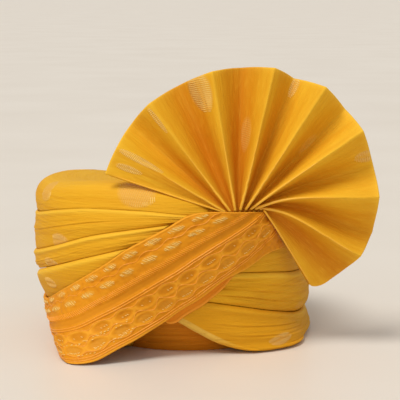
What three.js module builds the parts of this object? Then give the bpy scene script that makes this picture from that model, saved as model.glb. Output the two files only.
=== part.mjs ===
import * as THREE from 'three';

// millimetres, +Z up, the viewer of the photo stands at -Y
// a turn of 0 faces the viewer, 90 the left of the photo, 180 the back

const faceTurn = 20;        // which way the long axis of the head opening points
const leanTurn = 62;        // which way the crown bulges
const headX = -2;           // the head opening's middle, before the final centring
const shellWall = 7.5;      // wound inner shell
const clothWall = 2.6;      // one folded turn of cloth
const seat = 0.9;           // clearance of a turn over the shell
const lap = 0.9;            // clearance of a turn over the turn it covers, before the facets
const bandLap = 0.5;        // clearance between the band and its turned-under layer
const tuck = 9;             // how far a turn reaches under the one below it
const noseDrop = 2.2;       // rounding of a fold

const shellTurns = 36;
const wrapTurns = 48;

// one row per level of the crown, from the table up and in over the top
const crownRows = [
  { name: 'rim',      q: 0,   z: 0,   shift: 0,  halfLength: 108, halfWidth: 91 },
  { name: 'brow',     q: 34,  z: 33,  shift: 17, halfLength: 116, halfWidth: 101 },
  { name: 'belly',    q: 76,  z: 74,  shift: 28, halfLength: 124, halfWidth: 112 },
  { name: 'shoulder', q: 114, z: 111, shift: 29, halfLength: 125, halfWidth: 113 },
  { name: 'edge',     q: 141, z: 131, shift: 30, halfLength: 116.5, halfWidth: 110 },
  { name: 'top',      q: 186, z: 133, shift: 24, halfLength: 73,  halfWidth: 64 },
  { name: 'apex',     q: 248, z: 133, shift: 20, halfLength: 8,   halfWidth: 7 },
];

// how far the top is raised or sunk round its edge
const topRows = [
  { turn: 0,   rise: 0 },
  { turn: 55,  rise: 0.4 },
  { turn: 95,  rise: 1.6 },
  { turn: 115, rise: 1.6 },
  { turn: 130, rise: -0.4 },
  { turn: 145, rise: -3.4 },
  { turn: 165, rise: -5 },
  { turn: 200, rise: -5 },
  { turn: 260, rise: -3 },
  { turn: 305, rise: 0 },
  { turn: 360, rise: 0 },
];

// the folds round the crown: distance up the crown wall of each turn's upper fold,
// and the extra fullness of the lowest turn (roll), the middle one (swell), the top one (crest) and the lowest edge (foot)
const foldRows = [
  { turn: -30, upper: 124, middle: 121, lower: 106, roll: 0,  swell: 0, crest: 0.4, foot: 0 },
  { turn: -10, upper: 127, middle: 120, lower: 103, roll: 0,  swell: 0, crest: 0.2, foot: 0 },
  { turn: 10,  upper: 131, middle: 114, lower: 99,  roll: 0,  swell: 0, crest: 0.4, foot: 0 },
  { turn: 30,  upper: 131, middle: 106, lower: 89,  roll: 1.5,  swell: 0, crest: 1.5, foot: 0 },
  { turn: 50,  upper: 126, middle: 94,  lower: 78,  roll: 4.5,  swell: 1.5, crest: 2.6, foot: 0 },
  { turn: 75,  upper: 117, middle: 83,  lower: 67,  roll: 9,  swell: 4, crest: 3.2, foot: 0 },
  { turn: 100, upper: 114, middle: 79,  lower: 58,  roll: 7.6,  swell: 4.4, crest: 3.2, foot: 0 },
  { turn: 130, upper: 112, middle: 76,  lower: 49,  roll: 1,  swell: 2.5, crest: 2.6, foot: 0 },
  { turn: 160, upper: 110, middle: 73,  lower: 41,  roll: 0.5,  swell: 0, crest: 2.2, foot: 0 },
  { turn: 190, upper: 108, middle: 70,  lower: 33,  roll: 2,  swell: 0, crest: 2, foot: 0 },
  { turn: 220, upper: 107, middle: 67,  lower: 26,  roll: 3,  swell: 1, crest: 2, foot: 0 },
  { turn: 250, upper: 106, middle: 64,  lower: 20,  roll: 4,  swell: 3, crest: 2, foot: 0 },
  { turn: 275, upper: 106, middle: 62,  lower: 18,  roll: 5,  swell: 8.5, crest: 2, foot: 2 },
  { turn: 295, upper: 107, middle: 65,  lower: 23,  roll: 8.5, swell: 10, crest: 1.4, foot: 8 },
  { turn: 315, upper: 110, middle: 71,  lower: 35,  roll: 14.5, swell: 6.5, crest: 0.6, foot: 14 },
  { turn: 330, upper: 115, middle: 74,  lower: 45,  roll: 12, swell: 1, crest: 0.4, foot: 13 },
  { turn: 350, upper: 127, middle: 75,  lower: 53,  roll: 1,  swell: 0, crest: 0.2, foot: 8 },
  { turn: 370, upper: 131, middle: 75,  lower: 56,  roll: 0,  swell: 0, crest: 0.4, foot: 0 },
];

// where each turn starts on the left and ends on the right, both under the band
const wrapRows = [
  { name: 'top_wrap',    below: 'upper',  above: null,     extra: 'crest', startLow: 0,   startHigh: 0,   endLow: 360, endHigh: 360, puff: 0.4 },
  { name: 'upper_wrap',  below: 'middle', above: 'upper',  extra: null,    startLow: -11, startHigh: -12, endLow: 331, endHigh: 330, puff: 1.4 },
  { name: 'middle_wrap', below: 'lower',  above: 'middle', extra: 'swell', startLow: 6,   startHigh: -3,  endLow: 351, endHigh: 352, puff: 1.4 },
  { name: 'lower_wrap',  below: null,     above: 'lower',  extra: 'roll',  startLow: 34,  startHigh: 12,  endLow: 330, endHigh: 366, puff: 1.2 },
];
const ringSeam = 341;       // past this turn the uppermost ring follows the start of the turn below it
const topWrapEdge = 204;    // how far in over the top the uppermost turn reaches
const hem = 1.0;            // the lowest turn's edge above the table

// the band, one row per cross-section from the knot round to the back;
// turn and level of its upper and lower edge, and how far each stands off the crown
const bandRows = [
  { name: 'end',    turnTop: -42,   top: 128.5, offTop: 12,   turnLow: -54,   low: 91.5, offLow: 11.4 },
  { name: 'knot',   turnTop: -29.5, top: 132,   offTop: 17,   turnLow: -43,   low: 87,   offLow: 11.9 },
  { name: 'root',   turnTop: -17,   top: 135,   offTop: 17,   turnLow: -33,   low: 77.5, offLow: 11.9 },
  { name: 'crest',  turnTop: -9.5,  top: 131.5, offTop: 14.5, turnLow: -23.5, low: 69,   offLow: 11.9 },
  { name: 'slope1', turnTop: -2,    top: 119.5, offTop: 12,   turnLow: -14.5, low: 56,   offLow: 11.9 },
  { name: 'slope2', turnTop: 6,     top: 108.5, offTop: 12,   turnLow: -6,    low: 46.5, offLow: 12.8 },
  { name: 'slope3', turnTop: 14,    top: 98,    offTop: 12,   turnLow: 2,     low: 36,   offLow: 15 },
  { name: 'slope4', turnTop: 22,    top: 86,    offTop: 12,   turnLow: 12,    low: 25,   offLow: 26 },
  { name: 'slope5', turnTop: 33,    top: 72.5,  offTop: 12,   turnLow: 22,    low: 13,   offLow: 49 },
  { name: 'skirt',  turnTop: 41,    top: 64,    offTop: 13.5, turnLow: 29,    low: 3.5,  offLow: 70 },
  { name: 'corner', turnTop: 50,    top: 56,    offTop: 15,   turnLow: 35,    low: 0.8,  offLow: 80 },
  { name: 'turn',   turnTop: 59,    top: 49,    offTop: 18,   turnLow: 41,    low: 0.8,  offLow: 73 },
  { name: 'flank1', turnTop: 68,    top: 43.5,  offTop: 20.5, turnLow: 49,    low: 1.2,  offLow: 55 },
  { name: 'flank2', turnTop: 82,    top: 40,    offTop: 19.5, turnLow: 62,    low: 1.6,  offLow: 38 },
  { name: 'flank3', turnTop: 100,   top: 38,    offTop: 20,   turnLow: 84,    low: 2,    offLow: 23 },
  { name: 'back1',  turnTop: 122,   top: 36,    offTop: 15.3, turnLow: 110,   low: 2.5,  offLow: 15.3 },
  { name: 'back2',  turnTop: 146,   top: 33,    offTop: 10.6, turnLow: 138,   low: 3,    offLow: 10.4 },
];
const bandWall = 2.4;
const bandAlong = 40;
const bandAcross = 8;

// the plain turned-under layer: rows of the band it follows and how far it shows below the band
const foldFirst = 3.0;
const foldLast = 6.2;
const foldShow = 6;
const foldWidth = 16;
const foldWall = 1.8;

// the fan, one row per fold from the left edge over the top to the lower right edge;
// rimX and rimZ from the root's middle, back is how far the rim lies behind the root plane,
// pleat is positive for a valley and negative for a ridge, root is the place along the gathered root,
// ahead brings a fold forward of the neck, curl lifts the fold near the root
const fanRows = [
  { name: 'left',    rimX: -117, rimZ: 32,  back: 4,  pleat: -1,  root: -17, ahead: 0, neck: 1,   curl: 0 },
  { name: 'ridge1',  rimX: -107, rimZ: 55,  back: 11, pleat: -7,  root: -15, ahead: 0, neck: 1,   curl: 0 },
  { name: 'valley1', rimX: -96,  rimZ: 72,  back: 17, pleat: 8,   root: -13, ahead: 0, neck: 1,   curl: 0 },
  { name: 'ridge2',  rimX: -80,  rimZ: 91,  back: 21, pleat: -9,  root: -11, ahead: 0, neck: 1,   curl: 0 },
  { name: 'valley2', rimX: -55,  rimZ: 105, back: 22, pleat: 10,  root: -9,  ahead: 0, neck: 1,   curl: 0 },
  { name: 'ridge3',  rimX: -27,  rimZ: 118, back: 22, pleat: -10, root: -7,  ahead: 0, neck: 1,   curl: 0 },
  { name: 'valley3', rimX: -2,   rimZ: 120, back: 22, pleat: 10,  root: -5,  ahead: 0, neck: 1,   curl: 0 },
  { name: 'ridge4',  rimX: 26,   rimZ: 121, back: 22, pleat: -10, root: -3,  ahead: 0, neck: 1,   curl: 0 },
  { name: 'valley4', rimX: 43,   rimZ: 111, back: 22, pleat: 10,  root: -1,  ahead: 0, neck: 1,   curl: 0 },
  { name: 'ridge5',  rimX: 69,   rimZ: 105, back: 22, pleat: -10, root: 1,   ahead: 0, neck: 1,   curl: 0 },
  { name: 'valley5', rimX: 87,   rimZ: 85,  back: 22, pleat: 10,  root: 3,   ahead: 0, neck: 1,   curl: 1 },
  { name: 'ridge6',  rimX: 101,  rimZ: 68,  back: 22, pleat: -10, root: 5,   ahead: 0, neck: 1,   curl: 2 },
  { name: 'valley6', rimX: 112,  rimZ: 37,  back: 24, pleat: 10,  root: 7,   ahead: 0, neck: 1,   curl: 4 },
  { name: 'ridge7',  rimX: 116,  rimZ: 11,  back: 26, pleat: -10, root: 9,   ahead: 0, neck: 1,   curl: 7 },
  { name: 'valley7', rimX: 113,  rimZ: -23, back: 30, pleat: 9,   root: 11,  ahead: 0, neck: 1,   curl: 9 },
  { name: 'ridge8',  rimX: 102,  rimZ: -42, back: 34, pleat: -8,  root: 13,  ahead: 0, neck: 0.03, curl: 8 },
  { name: 'valley8', rimX: 87,   rimZ: -60, back: 42, pleat: 6,   root: 15,  ahead: 4.3, neck: 0.03, curl: 5 },
  { name: 'right',   rimX: 62,   rimZ: -77, back: 48, pleat: -2,  root: 17,  ahead: 8, neck: 0.03, curl: 2 },
];
const fanRoot = { x: 37, y: -132.5, z: 125.5 };
const rootSlant = 0.5;      // how the root follows the crown back to the right
const rootBend = 0.0062;
const fanNeck = 10;         // gathered neck below the root, behind the band's top end
const fanWall = 2.8;        // measured front to back
const fanAlong = 9;
const fanPerPleat = 2;

const colours = { cloth: 0xd99a26, shade: 0xb8781c, band: 0xd98a2b, fan: 0xe0a32c };

const rad = (deg) => deg * Math.PI / 180;
const mix = (a, b, t) => a + (b - a) * t;
const clamp01 = (t) => Math.min(1, Math.max(0, t));
const smooth = (t) => { const c = clamp01(t); return c * c * (3 - 2 * c); };
const outward = (deg) => [-Math.sin(rad(deg)), -Math.cos(rad(deg))];

// a smooth curve through one column of a table, read at any place along another
function curve(rows, along, column) {
  const xs = rows.map((row) => row[along]);
  const ys = rows.map((row) => row[column]);
  const last = xs.length - 1;
  const slope = xs.map((_, i) => {
    if (i === 0) return (ys[1] - ys[0]) / (xs[1] - xs[0]);
    if (i === last) return (ys[last] - ys[last - 1]) / (xs[last] - xs[last - 1]);
    const before = xs[i] - xs[i - 1];
    const after = xs[i + 1] - xs[i];
    const left = (ys[i] - ys[i - 1]) / before;
    const right = (ys[i + 1] - ys[i]) / after;
    return (left * after + right * before) / (before + after);
  });
  return (at) => {
    const x = Math.min(xs[last], Math.max(xs[0], at));
    let i = 0;
    while (i < last - 1 && x > xs[i + 1]) i += 1;
    const h = xs[i + 1] - xs[i];
    const t = (x - xs[i]) / h;
    const t2 = t * t;
    const t3 = t2 * t;
    return (2 * t3 - 3 * t2 + 1) * ys[i] + (t3 - 2 * t2 + t) * h * slope[i]
      + (3 * t2 - 2 * t3) * ys[i + 1] + (t3 - t2) * h * slope[i + 1];
  };
}

const columns = (rows, along, names) => Object.fromEntries(names.map((name) => [name, curve(rows, along, name)]));

const crown = columns(crownRows, 'q', ['z', 'shift', 'halfLength', 'halfWidth']);
const folds = columns(foldRows, 'turn', ['upper', 'middle', 'lower', 'roll', 'swell', 'crest', 'foot']);
const topRise = curve(topRows, 'turn', 'rise');

function crownPoint(turn, q, shrink = 0) {
  const [fx, fy] = outward(faceTurn);
  const [sx, sy] = outward(faceTurn + 90);
  const [lx, ly] = outward(leanTurn);
  const along = (crown.halfLength(q) - shrink) * Math.cos(rad(turn - faceTurn));
  const across = (crown.halfWidth(q) - shrink) * Math.sin(rad(turn - faceTurn));
  const shift = crown.shift(q);
  const level = crown.z(q) + topRise(((turn % 360) + 360) % 360) * smooth((q - 100) / 40) * smooth((240 - q) / 60);
  return new THREE.Vector3(headX + shift * lx + along * fx + across * sx, shift * ly + along * fy + across * sy, level);
}

// a point that stands off the crown square to its surface, level where the wall overhangs the table
function offCrown(turn, q, off) {
  const step = 0.5;
  const up = crownPoint(turn, q + step).sub(crownPoint(turn, q - step));
  const round = crownPoint(turn + step, q).sub(crownPoint(turn - step, q));
  const normal = up.cross(round).normalize();
  if (normal.z < 0) normal.z *= smooth(q / 50);
  return crownPoint(turn, q).addScaledVector(normal.normalize(), off);
}

// a point that stands off the crown wall level
function besideCrown(turn, q, off) {
  const [ox, oy] = outward(turn);
  return crownPoint(turn, q).add(new THREE.Vector3(ox * off, oy * off, 0));
}

// closes two matching grids of points into one solid; front[i][j], i along, j across
function closeSheet(front, back, ring = false) {
  const spots = [];
  const nu = front.length;
  const nv = front[0].length;
  const triangle = (a, b, c) => spots.push(a.x, a.y, a.z, b.x, b.y, b.z, c.x, c.y, c.z);
  const quad = (a, b, c, d) => { triangle(a, b, c); triangle(a, c, d); };
  const steps = ring ? nu : nu - 1;
  for (let i = 0; i < steps; i += 1) {
    const k = (i + 1) % nu;
    for (let j = 0; j < nv - 1; j += 1) {
      quad(front[i][j], front[i][j + 1], front[k][j + 1], front[k][j]);
      quad(back[i][j], back[k][j], back[k][j + 1], back[i][j + 1]);
    }
    quad(front[i][0], front[k][0], back[k][0], back[i][0]);
    quad(front[i][nv - 1], back[i][nv - 1], back[k][nv - 1], front[k][nv - 1]);
  }
  if (!ring) {
    for (let j = 0; j < nv - 1; j += 1) {
      quad(front[0][j], back[0][j], back[0][j + 1], front[0][j + 1]);
      quad(front[nu - 1][j], front[nu - 1][j + 1], back[nu - 1][j + 1], back[nu - 1][j]);
    }
  }
  const shape = new THREE.BufferGeometry();
  shape.setAttribute('position', new THREE.Float32BufferAttribute(spots, 3));
  return shape;
}

// the inner shell: crown outside, the same loft drawn in by the wall inside, closed over the top
function innerWrapShape() {
  const levels = [0, 12, 26, 44, 64, 84, 102, 116, 128, 138, 150, 168, 190, 214, 240];
  const topZ = crown.z(levels[levels.length - 1]);
  const lift = (topZ - shellWall) / topZ;
  const spots = [];
  const triangle = (a, b, c) => spots.push(a.x, a.y, a.z, b.x, b.y, b.z, c.x, c.y, c.z);
  const ringAt = (q, inside) => Array.from({ length: shellTurns }, (_, i) => {
    const spot = crownPoint(i * 360 / shellTurns, q, inside ? Math.min(shellWall, crown.halfWidth(q) * 0.6) : 0);
    if (inside) spot.z *= lift;
    return spot;
  });
  const outer = levels.map((q) => ringAt(q, false));
  const inner = levels.filter((_, i) => i % 2 === 0 || i > 5).map((q) => ringAt(q, true));
  const skin = (rings, flip) => {
    for (let j = 0; j < rings.length - 1; j += 1) {
      for (let i = 0; i < shellTurns; i += 1) {
        const k = (i + 1) % shellTurns;
        const [a, b, c, d] = [rings[j][i], rings[j + 1][i], rings[j + 1][k], rings[j][k]];
        if (flip) { triangle(a, c, b); triangle(a, d, c); } else { triangle(a, b, c); triangle(a, c, d); }
      }
    }
    const last = rings[rings.length - 1];
    const tip = last.reduce((sum, p) => sum.add(p), new THREE.Vector3()).divideScalar(shellTurns);
    for (let i = 0; i < shellTurns; i += 1) {
      const k = (i + 1) % shellTurns;
      if (flip) triangle(last[i], last[k], tip); else triangle(last[i], tip, last[k]);
    }
  };
  skin(outer, false);
  skin(inner, true);
  for (let i = 0; i < shellTurns; i += 1) {
    const k = (i + 1) % shellTurns;
    triangle(outer[0][i], outer[0][k], inner[0][k]);
    triangle(outer[0][i], inner[0][k], inner[0][i]);
  }
  const shape = new THREE.BufferGeometry();
  shape.setAttribute('position', new THREE.Float32BufferAttribute(spots, 3));
  return shape;
}

// how far two turns lie over each other at a fold, less where the turns run narrow towards the knot
const foldOrder = ['lower', 'middle', 'upper'];
function overlapAt(fold, turn) {
  const place = foldOrder.indexOf(fold);
  const here = folds[fold](turn);
  const under = place === 0 ? hem : folds[foldOrder[place - 1]](turn);
  const over = place === 2 ? topWrapEdge : folds[foldOrder[place + 1]](turn);
  return Math.min(tuck, (here - under) * 0.4, (over - here) * 0.4);
}

// where the body of a turn is measured between its tuck and its fold
const bodyPlaces = [
  { at: 0.22, rise: 0.78, share: 0.9 },
  { at: 0.52, rise: 1,    share: 1 },
  { at: 0.8,  rise: 1,    share: 0.7 },
];
const ringPlaces = [
  { at: 0.1,  rise: 0.8,  share: 0.8 },
  { at: 0.21, rise: 1,    share: 1 },
  { at: 0.33, rise: 1,    share: 1 },
  { at: 0.52, rise: 1,    share: 0.8 },
  { at: 0.78, rise: 1,    share: 0.5 },
];

// stations across one turn of cloth, from its tucked lower edge to the nose of its fold
function wrapStations(row, turn) {
  const low = row.below ? folds[row.below](turn) : hem;
  const high = row.above ? folds[row.above](turn) : topWrapEdge;
  const width = high - low;
  const under = row.below ? overlapAt(row.below, turn) * 0.72 : 0;
  const over = row.above ? overlapAt(row.above, turn) : 0;
  const slim = seat + clothWall;
  const raised = row.above ? slim + lap : seat + 0.9;
  const extra = row.extra ? folds[row.extra](turn) : 0;
  const foot = row.below ? 0 : folds.foot(turn);
  const full = raised + clothWall + Math.min(row.puff, width * 0.06);
  const shoulderGap = row.above ? seat : seat + 1.1;
  const start = row.below ? low + 2.4 : low;
  const overStart = high - over - 1.5;
  const spread = (t) => mix(start, overStart, t);
  const foldShare = row.above ? [0.85, 0.55, 0.3] : [0.35, 0.1, 0];
  const stations = [];
  if (row.below) stations.push({ q: low - under, inner: seat, outer: slim });
  stations.push({ q: start, inner: row.below ? seat : seat + 0.7, outer: row.below ? slim : slim + 1.4 + extra + foot });
  const places = row.above ? bodyPlaces : ringPlaces;
  places.forEach(({ at, rise, share }, place) => stations.push({
    q: spread(at), inner: mix(seat, shoulderGap, rise) + (row.below ? 0 : 0.7), outer: mix(slim, full, row.below ? rise : 0.95) + extra * share + foot * [0.65, 0.2, 0, 0, 0][place],
  }));
  stations.push({ q: overStart, inner: raised, outer: full - 0.1 + extra * foldShare[0] });
  stations.push({ q: high - Math.min(noseDrop, width * 0.12), inner: raised, outer: full - 0.5 + extra * foldShare[1] });
  stations.push({ q: high, inner: raised + 0.7, outer: full - 1.5 + extra * foldShare[2] });
  return stations;
}

function wrapShape(row) {
  const ring = !row.above;
  const count = ring ? wrapTurns : wrapTurns + 1;
  const front = [];
  const back = [];
  for (let i = 0; i < count; i += 1) {
    const u = i / wrapTurns;
    const last = wrapStations(row, 90).length - 1;
    const turnAt = (j) => {
      const v = j / last;
      return mix(mix(row.startLow, row.startHigh, v), mix(row.endLow, row.endHigh, Math.min(1, v * 1.7)), u);
    };
    const seen = Array.from({ length: last + 1 }, (_, j) => wrapStations(row, ring && turnAt(j) > ringSeam ? turnAt(j) - 360 : turnAt(j))[j]);
    front.push(seen.map((s, j) => offCrown(turnAt(j), s.q, s.outer)));
    back.push(seen.map((s, j) => offCrown(turnAt(j), s.q, s.inner)));
  }
  return closeSheet(front, back, ring);
}

const bandIndexed = bandRows.map((row, index) => ({ ...row, index }));
const band = columns(bandIndexed, 'index', ['turnTop', 'top', 'offTop', 'turnLow', 'low', 'offLow']);

// a point of the band: s in rows along it, v from its lower edge (0) to its upper edge (1), off in front of it
function bandPoint(s, v, off) {
  const turn = mix(band.turnLow(s), band.turnTop(s), v);
  const q = mix(band.low(s), band.top(s), v);
  const stand = mix(band.offLow(s), band.offTop(s), v);
  return besideCrown(turn, q, stand + off);
}

function bandShape() {
  const front = [];
  const back = [];
  for (let i = 0; i <= bandAlong; i += 1) {
    const s = i / bandAlong * (bandRows.length - 1);
    const vs = Array.from({ length: bandAcross + 1 }, (_, j) => j / bandAcross);
    front.push(vs.map((v) => bandPoint(s, v, bandWall)));
    back.push(vs.map((v) => bandPoint(s, v, 0)));
  }
  return closeSheet(front, back);
}

function bandFoldShape() {
  const front = [];
  const back = [];
  const steps = 14;
  for (let i = 0; i <= steps; i += 1) {
    const s = mix(foldFirst, foldLast, i / steps);
    const span = bandPoint(s, 0, 0).distanceTo(bandPoint(s, 1, 0));
    const lows = [-foldShow, -foldShow * 0.5, 0, foldWidth - foldShow].map((d) => d / span);
    front.push(lows.map((v) => bandPoint(s, v, -bandLap)));
    back.push(lows.map((v) => bandPoint(s, v, -bandLap - foldWall)));
  }
  return closeSheet(front, back);
}

// the fan's fold lines: t from -neck (0) through the root to the rim (1)
function fanSpot(row, t, depth) {
  const out = clamp01(t);
  const gather = smooth(out / 0.55);
  const side = row.root - fanRows[0].root;
  const rootBack = rootSlant * side + rootBend * side * side - row.ahead;
  const x = mix(row.root, row.rimX, out);
  const lift = row.curl * 6.75 * out * (1 - out) ** 2;
  const z = out * row.rimZ + lift + Math.min(0, t) * fanNeck * row.neck;
  const y = mix(rootBack, row.back, out) + row.pleat * mix(0.13, 1, gather) + depth;
  return new THREE.Vector3(fanRoot.x + x, fanRoot.y + y, fanRoot.z + z);
}

function fanShape() {
  const lines = [];
  fanRows.forEach((row, i) => {
    lines.push(row);
    if (i === fanRows.length - 1) return;
    const next = fanRows[i + 1];
    for (let k = 1; k < fanPerPleat; k += 1) {
      const t = k / fanPerPleat;
      const between = {};
      ['rimX', 'rimZ', 'back', 'pleat', 'root', 'ahead', 'neck', 'curl'].forEach((name) => { between[name] = mix(row[name], next[name], t); });
      lines.push(between);
    }
  });
  const stops = [-1, -0.4];
  for (let j = 0; j < fanAlong; j += 1) stops.push((j / (fanAlong - 1)) ** 1.35);
  const back = lines.map((row) => stops.map((t) => fanSpot(row, t, fanWall / 2)));
  const front = lines.map((row) => stops.map((t) => fanSpot(row, t, -fanWall / 2)));
  return closeSheet(back, front);
}

function piece(name, shape, colour) {
  const mesh = new THREE.Mesh(shape, new THREE.MeshStandardMaterial({ color: colour, roughness: 0.7 }));
  mesh.name = name;
  return mesh;
}

const turban = new THREE.Group();
turban.name = 'tied_turban_pagri';
turban.add(piece('inner_wrap', innerWrapShape(), colours.shade));
wrapRows.forEach((row) => turban.add(piece(row.name, wrapShape(row), colours.cloth)));
turban.add(piece('band_fold', bandFoldShape(), colours.shade));
turban.add(piece('brocade_band', bandShape(), colours.band));
turban.add(piece('fan', fanShape(), colours.fan));

// the origin goes to the middle of the whole at table height
const box = new THREE.Box3().setFromObject(turban);
const middle = box.getCenter(new THREE.Vector3());
turban.children.forEach((mesh) => mesh.geometry.translate(-middle.x, -middle.y, -box.min.z));

export default turban;
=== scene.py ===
import bmesh
import bpy
import numpy as np
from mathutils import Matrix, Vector
from mathutils.bvhtree import BVHTree


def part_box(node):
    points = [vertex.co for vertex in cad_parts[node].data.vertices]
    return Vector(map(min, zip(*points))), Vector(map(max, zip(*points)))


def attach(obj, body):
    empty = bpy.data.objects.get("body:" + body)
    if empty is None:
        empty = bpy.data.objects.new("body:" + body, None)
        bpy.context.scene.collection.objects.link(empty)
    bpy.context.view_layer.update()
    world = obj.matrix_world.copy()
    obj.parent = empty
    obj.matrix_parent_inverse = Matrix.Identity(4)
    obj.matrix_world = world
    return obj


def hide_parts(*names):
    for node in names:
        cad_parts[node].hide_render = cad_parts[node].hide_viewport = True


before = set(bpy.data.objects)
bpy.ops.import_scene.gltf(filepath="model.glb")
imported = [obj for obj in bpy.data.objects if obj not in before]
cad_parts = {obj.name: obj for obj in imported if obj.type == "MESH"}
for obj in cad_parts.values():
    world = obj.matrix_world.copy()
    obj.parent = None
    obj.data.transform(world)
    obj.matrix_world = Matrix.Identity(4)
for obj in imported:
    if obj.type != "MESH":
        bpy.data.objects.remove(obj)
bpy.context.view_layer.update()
print("frame loaded:", ", ".join(sorted(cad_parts)))

mm = 0.001  # the tables are in millimetres
# a turn of 0 faces the camera, 90 the left of the picture, 180 the back
# a level q runs up the crown wall from the table and then in over the top


def table(columns, *rows):
    return dict(zip(columns.split(), np.array(rows, float).T))


def mix(a, b, t):
    return a + (b - a) * t


def smooth(t):
    c = np.clip(t, 0, 1)
    return c * c * (3 - 2 * c)


def hump(x, width):
    return np.exp(-(x / width) ** 2)


def fadeIn(x, start, width):
    return smooth((x - start) / width)


def fadeOut(x, end, width):
    return smooth((end - x) / width)


def cosSin(degrees):
    return np.cos(np.radians(degrees)), np.sin(np.radians(degrees))


def curve(rows, along, column):
    xs, ys = rows[along], rows[column]
    slope = np.gradient(ys, xs)

    def at(x):
        x = np.clip(x, xs[0], xs[-1])
        i = np.clip(np.searchsorted(xs, x, side="right") - 1, 0, len(xs) - 2)
        h = xs[i + 1] - xs[i]
        t = (x - xs[i]) / h
        return ((2 * t**3 - 3 * t**2 + 1) * ys[i] + (t**3 - 2 * t**2 + t) * h * slope[i]
                + (3 * t**2 - 2 * t**3) * ys[i + 1] + (t**3 - t**2) * h * slope[i + 1])
    return at


def curves(rows, along):
    return {name: curve(rows, along, name) for name in rows if name != along}


def ripple(u, v, seed, cells=61):
    # smooth seeded noise from -1 to 1 on a lattice one unit apart
    lattice = np.random.default_rng(seed).uniform(-1, 1, (cells, cells))
    i, j = np.floor(u).astype(int), np.floor(v).astype(int)
    f, g = smooth(u - i), smooth(v - j)
    pick = lambda a, b: lattice[a % cells, b % cells]
    return mix(mix(pick(i, j), pick(i + 1, j), f), mix(pick(i, j + 1), pick(i + 1, j + 1), f), g)


# crown form that every turn of cloth lies on
head = {"faceTurn": 20, "leanTurn": 62, "x": -2, "topIn": (100, 40), "topOut": (240, 60),
        "frontIn": (131, 13), "frontOut": (215, 50), "uprightFoot": 50}
crown = curves(table(
    "q z shift halfLength halfWidth",
    (0, 0, 0, 108, 91), (34, 33, 17, 116, 101), (76, 74, 28, 124, 112), (114, 111, 29, 125, 113),
    (141, 131, 30, 116.5, 110), (186, 133, 24, 73, 64), (248, 133, 20, 8, 7)), "q")
# the top dips at the back, and its front swells up towards the fan
topRise = curves(table(
    "turn rise", (0, 0), (55, 0.4), (95, 1.6), (115, 1.6), (130, -0.4), (145, -3.4), (165, -5), (200, -5),
    (260, -3), (305, 0), (360, 0)), "turn")["rise"]
frontRise = curves(table(
    "turn rise", (0, 3.5), (12, 7.5), (25, 8.5), (38, 6.5), (52, 3), (68, 0.7), (85, 0), (345, 0),
    (352, 0.6), (360, 3.5)), "turn")["rise"]


def outward(turn):
    a = np.radians(turn)
    return np.stack([-np.sin(a), -np.cos(a), np.zeros_like(a)], -1)


def crownPoint(turn, q, shrink=0.0):
    turn, q = np.broadcast_arrays(np.asarray(turn, float), np.asarray(q, float))
    c, s = cosSin(turn - head["faceTurn"])
    along = (crown["halfLength"](q) - shrink) * c
    across = (crown["halfWidth"](q) - shrink) * s
    ways = head["faceTurn"], head["faceTurn"] + 90, head["leanTurn"]
    face, side, lean = (outward(np.float64(way)) for way in ways)
    spot = along[..., None] * face + across[..., None] * side + crown["shift"](q)[..., None] * lean
    spot[..., 0] += head["x"]
    rise = topRise(turn % 360) * fadeIn(q, *head["topIn"]) * fadeOut(q, *head["topOut"])
    front = frontRise(turn % 360) * fadeIn(q, *head["frontIn"]) * fadeOut(q, *head["frontOut"])
    spot[..., 2] = crown["z"](q) + rise + front
    return spot


def offCrown(turn, q, off):
    step = 0.5
    up = crownPoint(turn, q + step) - crownPoint(turn, q - step)
    around = crownPoint(turn + step, q) - crownPoint(turn - step, q)
    normal = np.cross(up, around)
    normal /= np.linalg.norm(normal, axis=-1, keepdims=True) + 1e-12
    normal[..., 2] *= np.where(normal[..., 2] < 0, smooth(q / head["uprightFoot"]), 1)
    normal /= np.linalg.norm(normal, axis=-1, keepdims=True) + 1e-12
    return crownPoint(turn, q) + normal * np.asarray(off)[..., None]


def besideCrown(turn, q, off):
    return crownPoint(turn, q) + outward(turn) * np.asarray(off)[..., None]


# the frame's origin is the middle of the whole part, the crown's is its own, so the inner shell ties them
shellLevels = np.array([0, 12, 26, 44, 64, 84, 102, 116, 128, 138, 150, 168, 190, 214, 240.0])
shellRings = crownPoint(np.arange(0, 360, 10.0)[:, None], shellLevels[None]).reshape(-1, 3) * mm
boxLow, boxHigh = (np.array(corner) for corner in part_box("inner_wrap"))
toFrame = (boxLow + boxHigh - shellRings.min(0) - shellRings.max(0)) / 2 * np.array([1, 1, 0])


def placed(points):
    return np.asarray(points) * mm + toFrame


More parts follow.
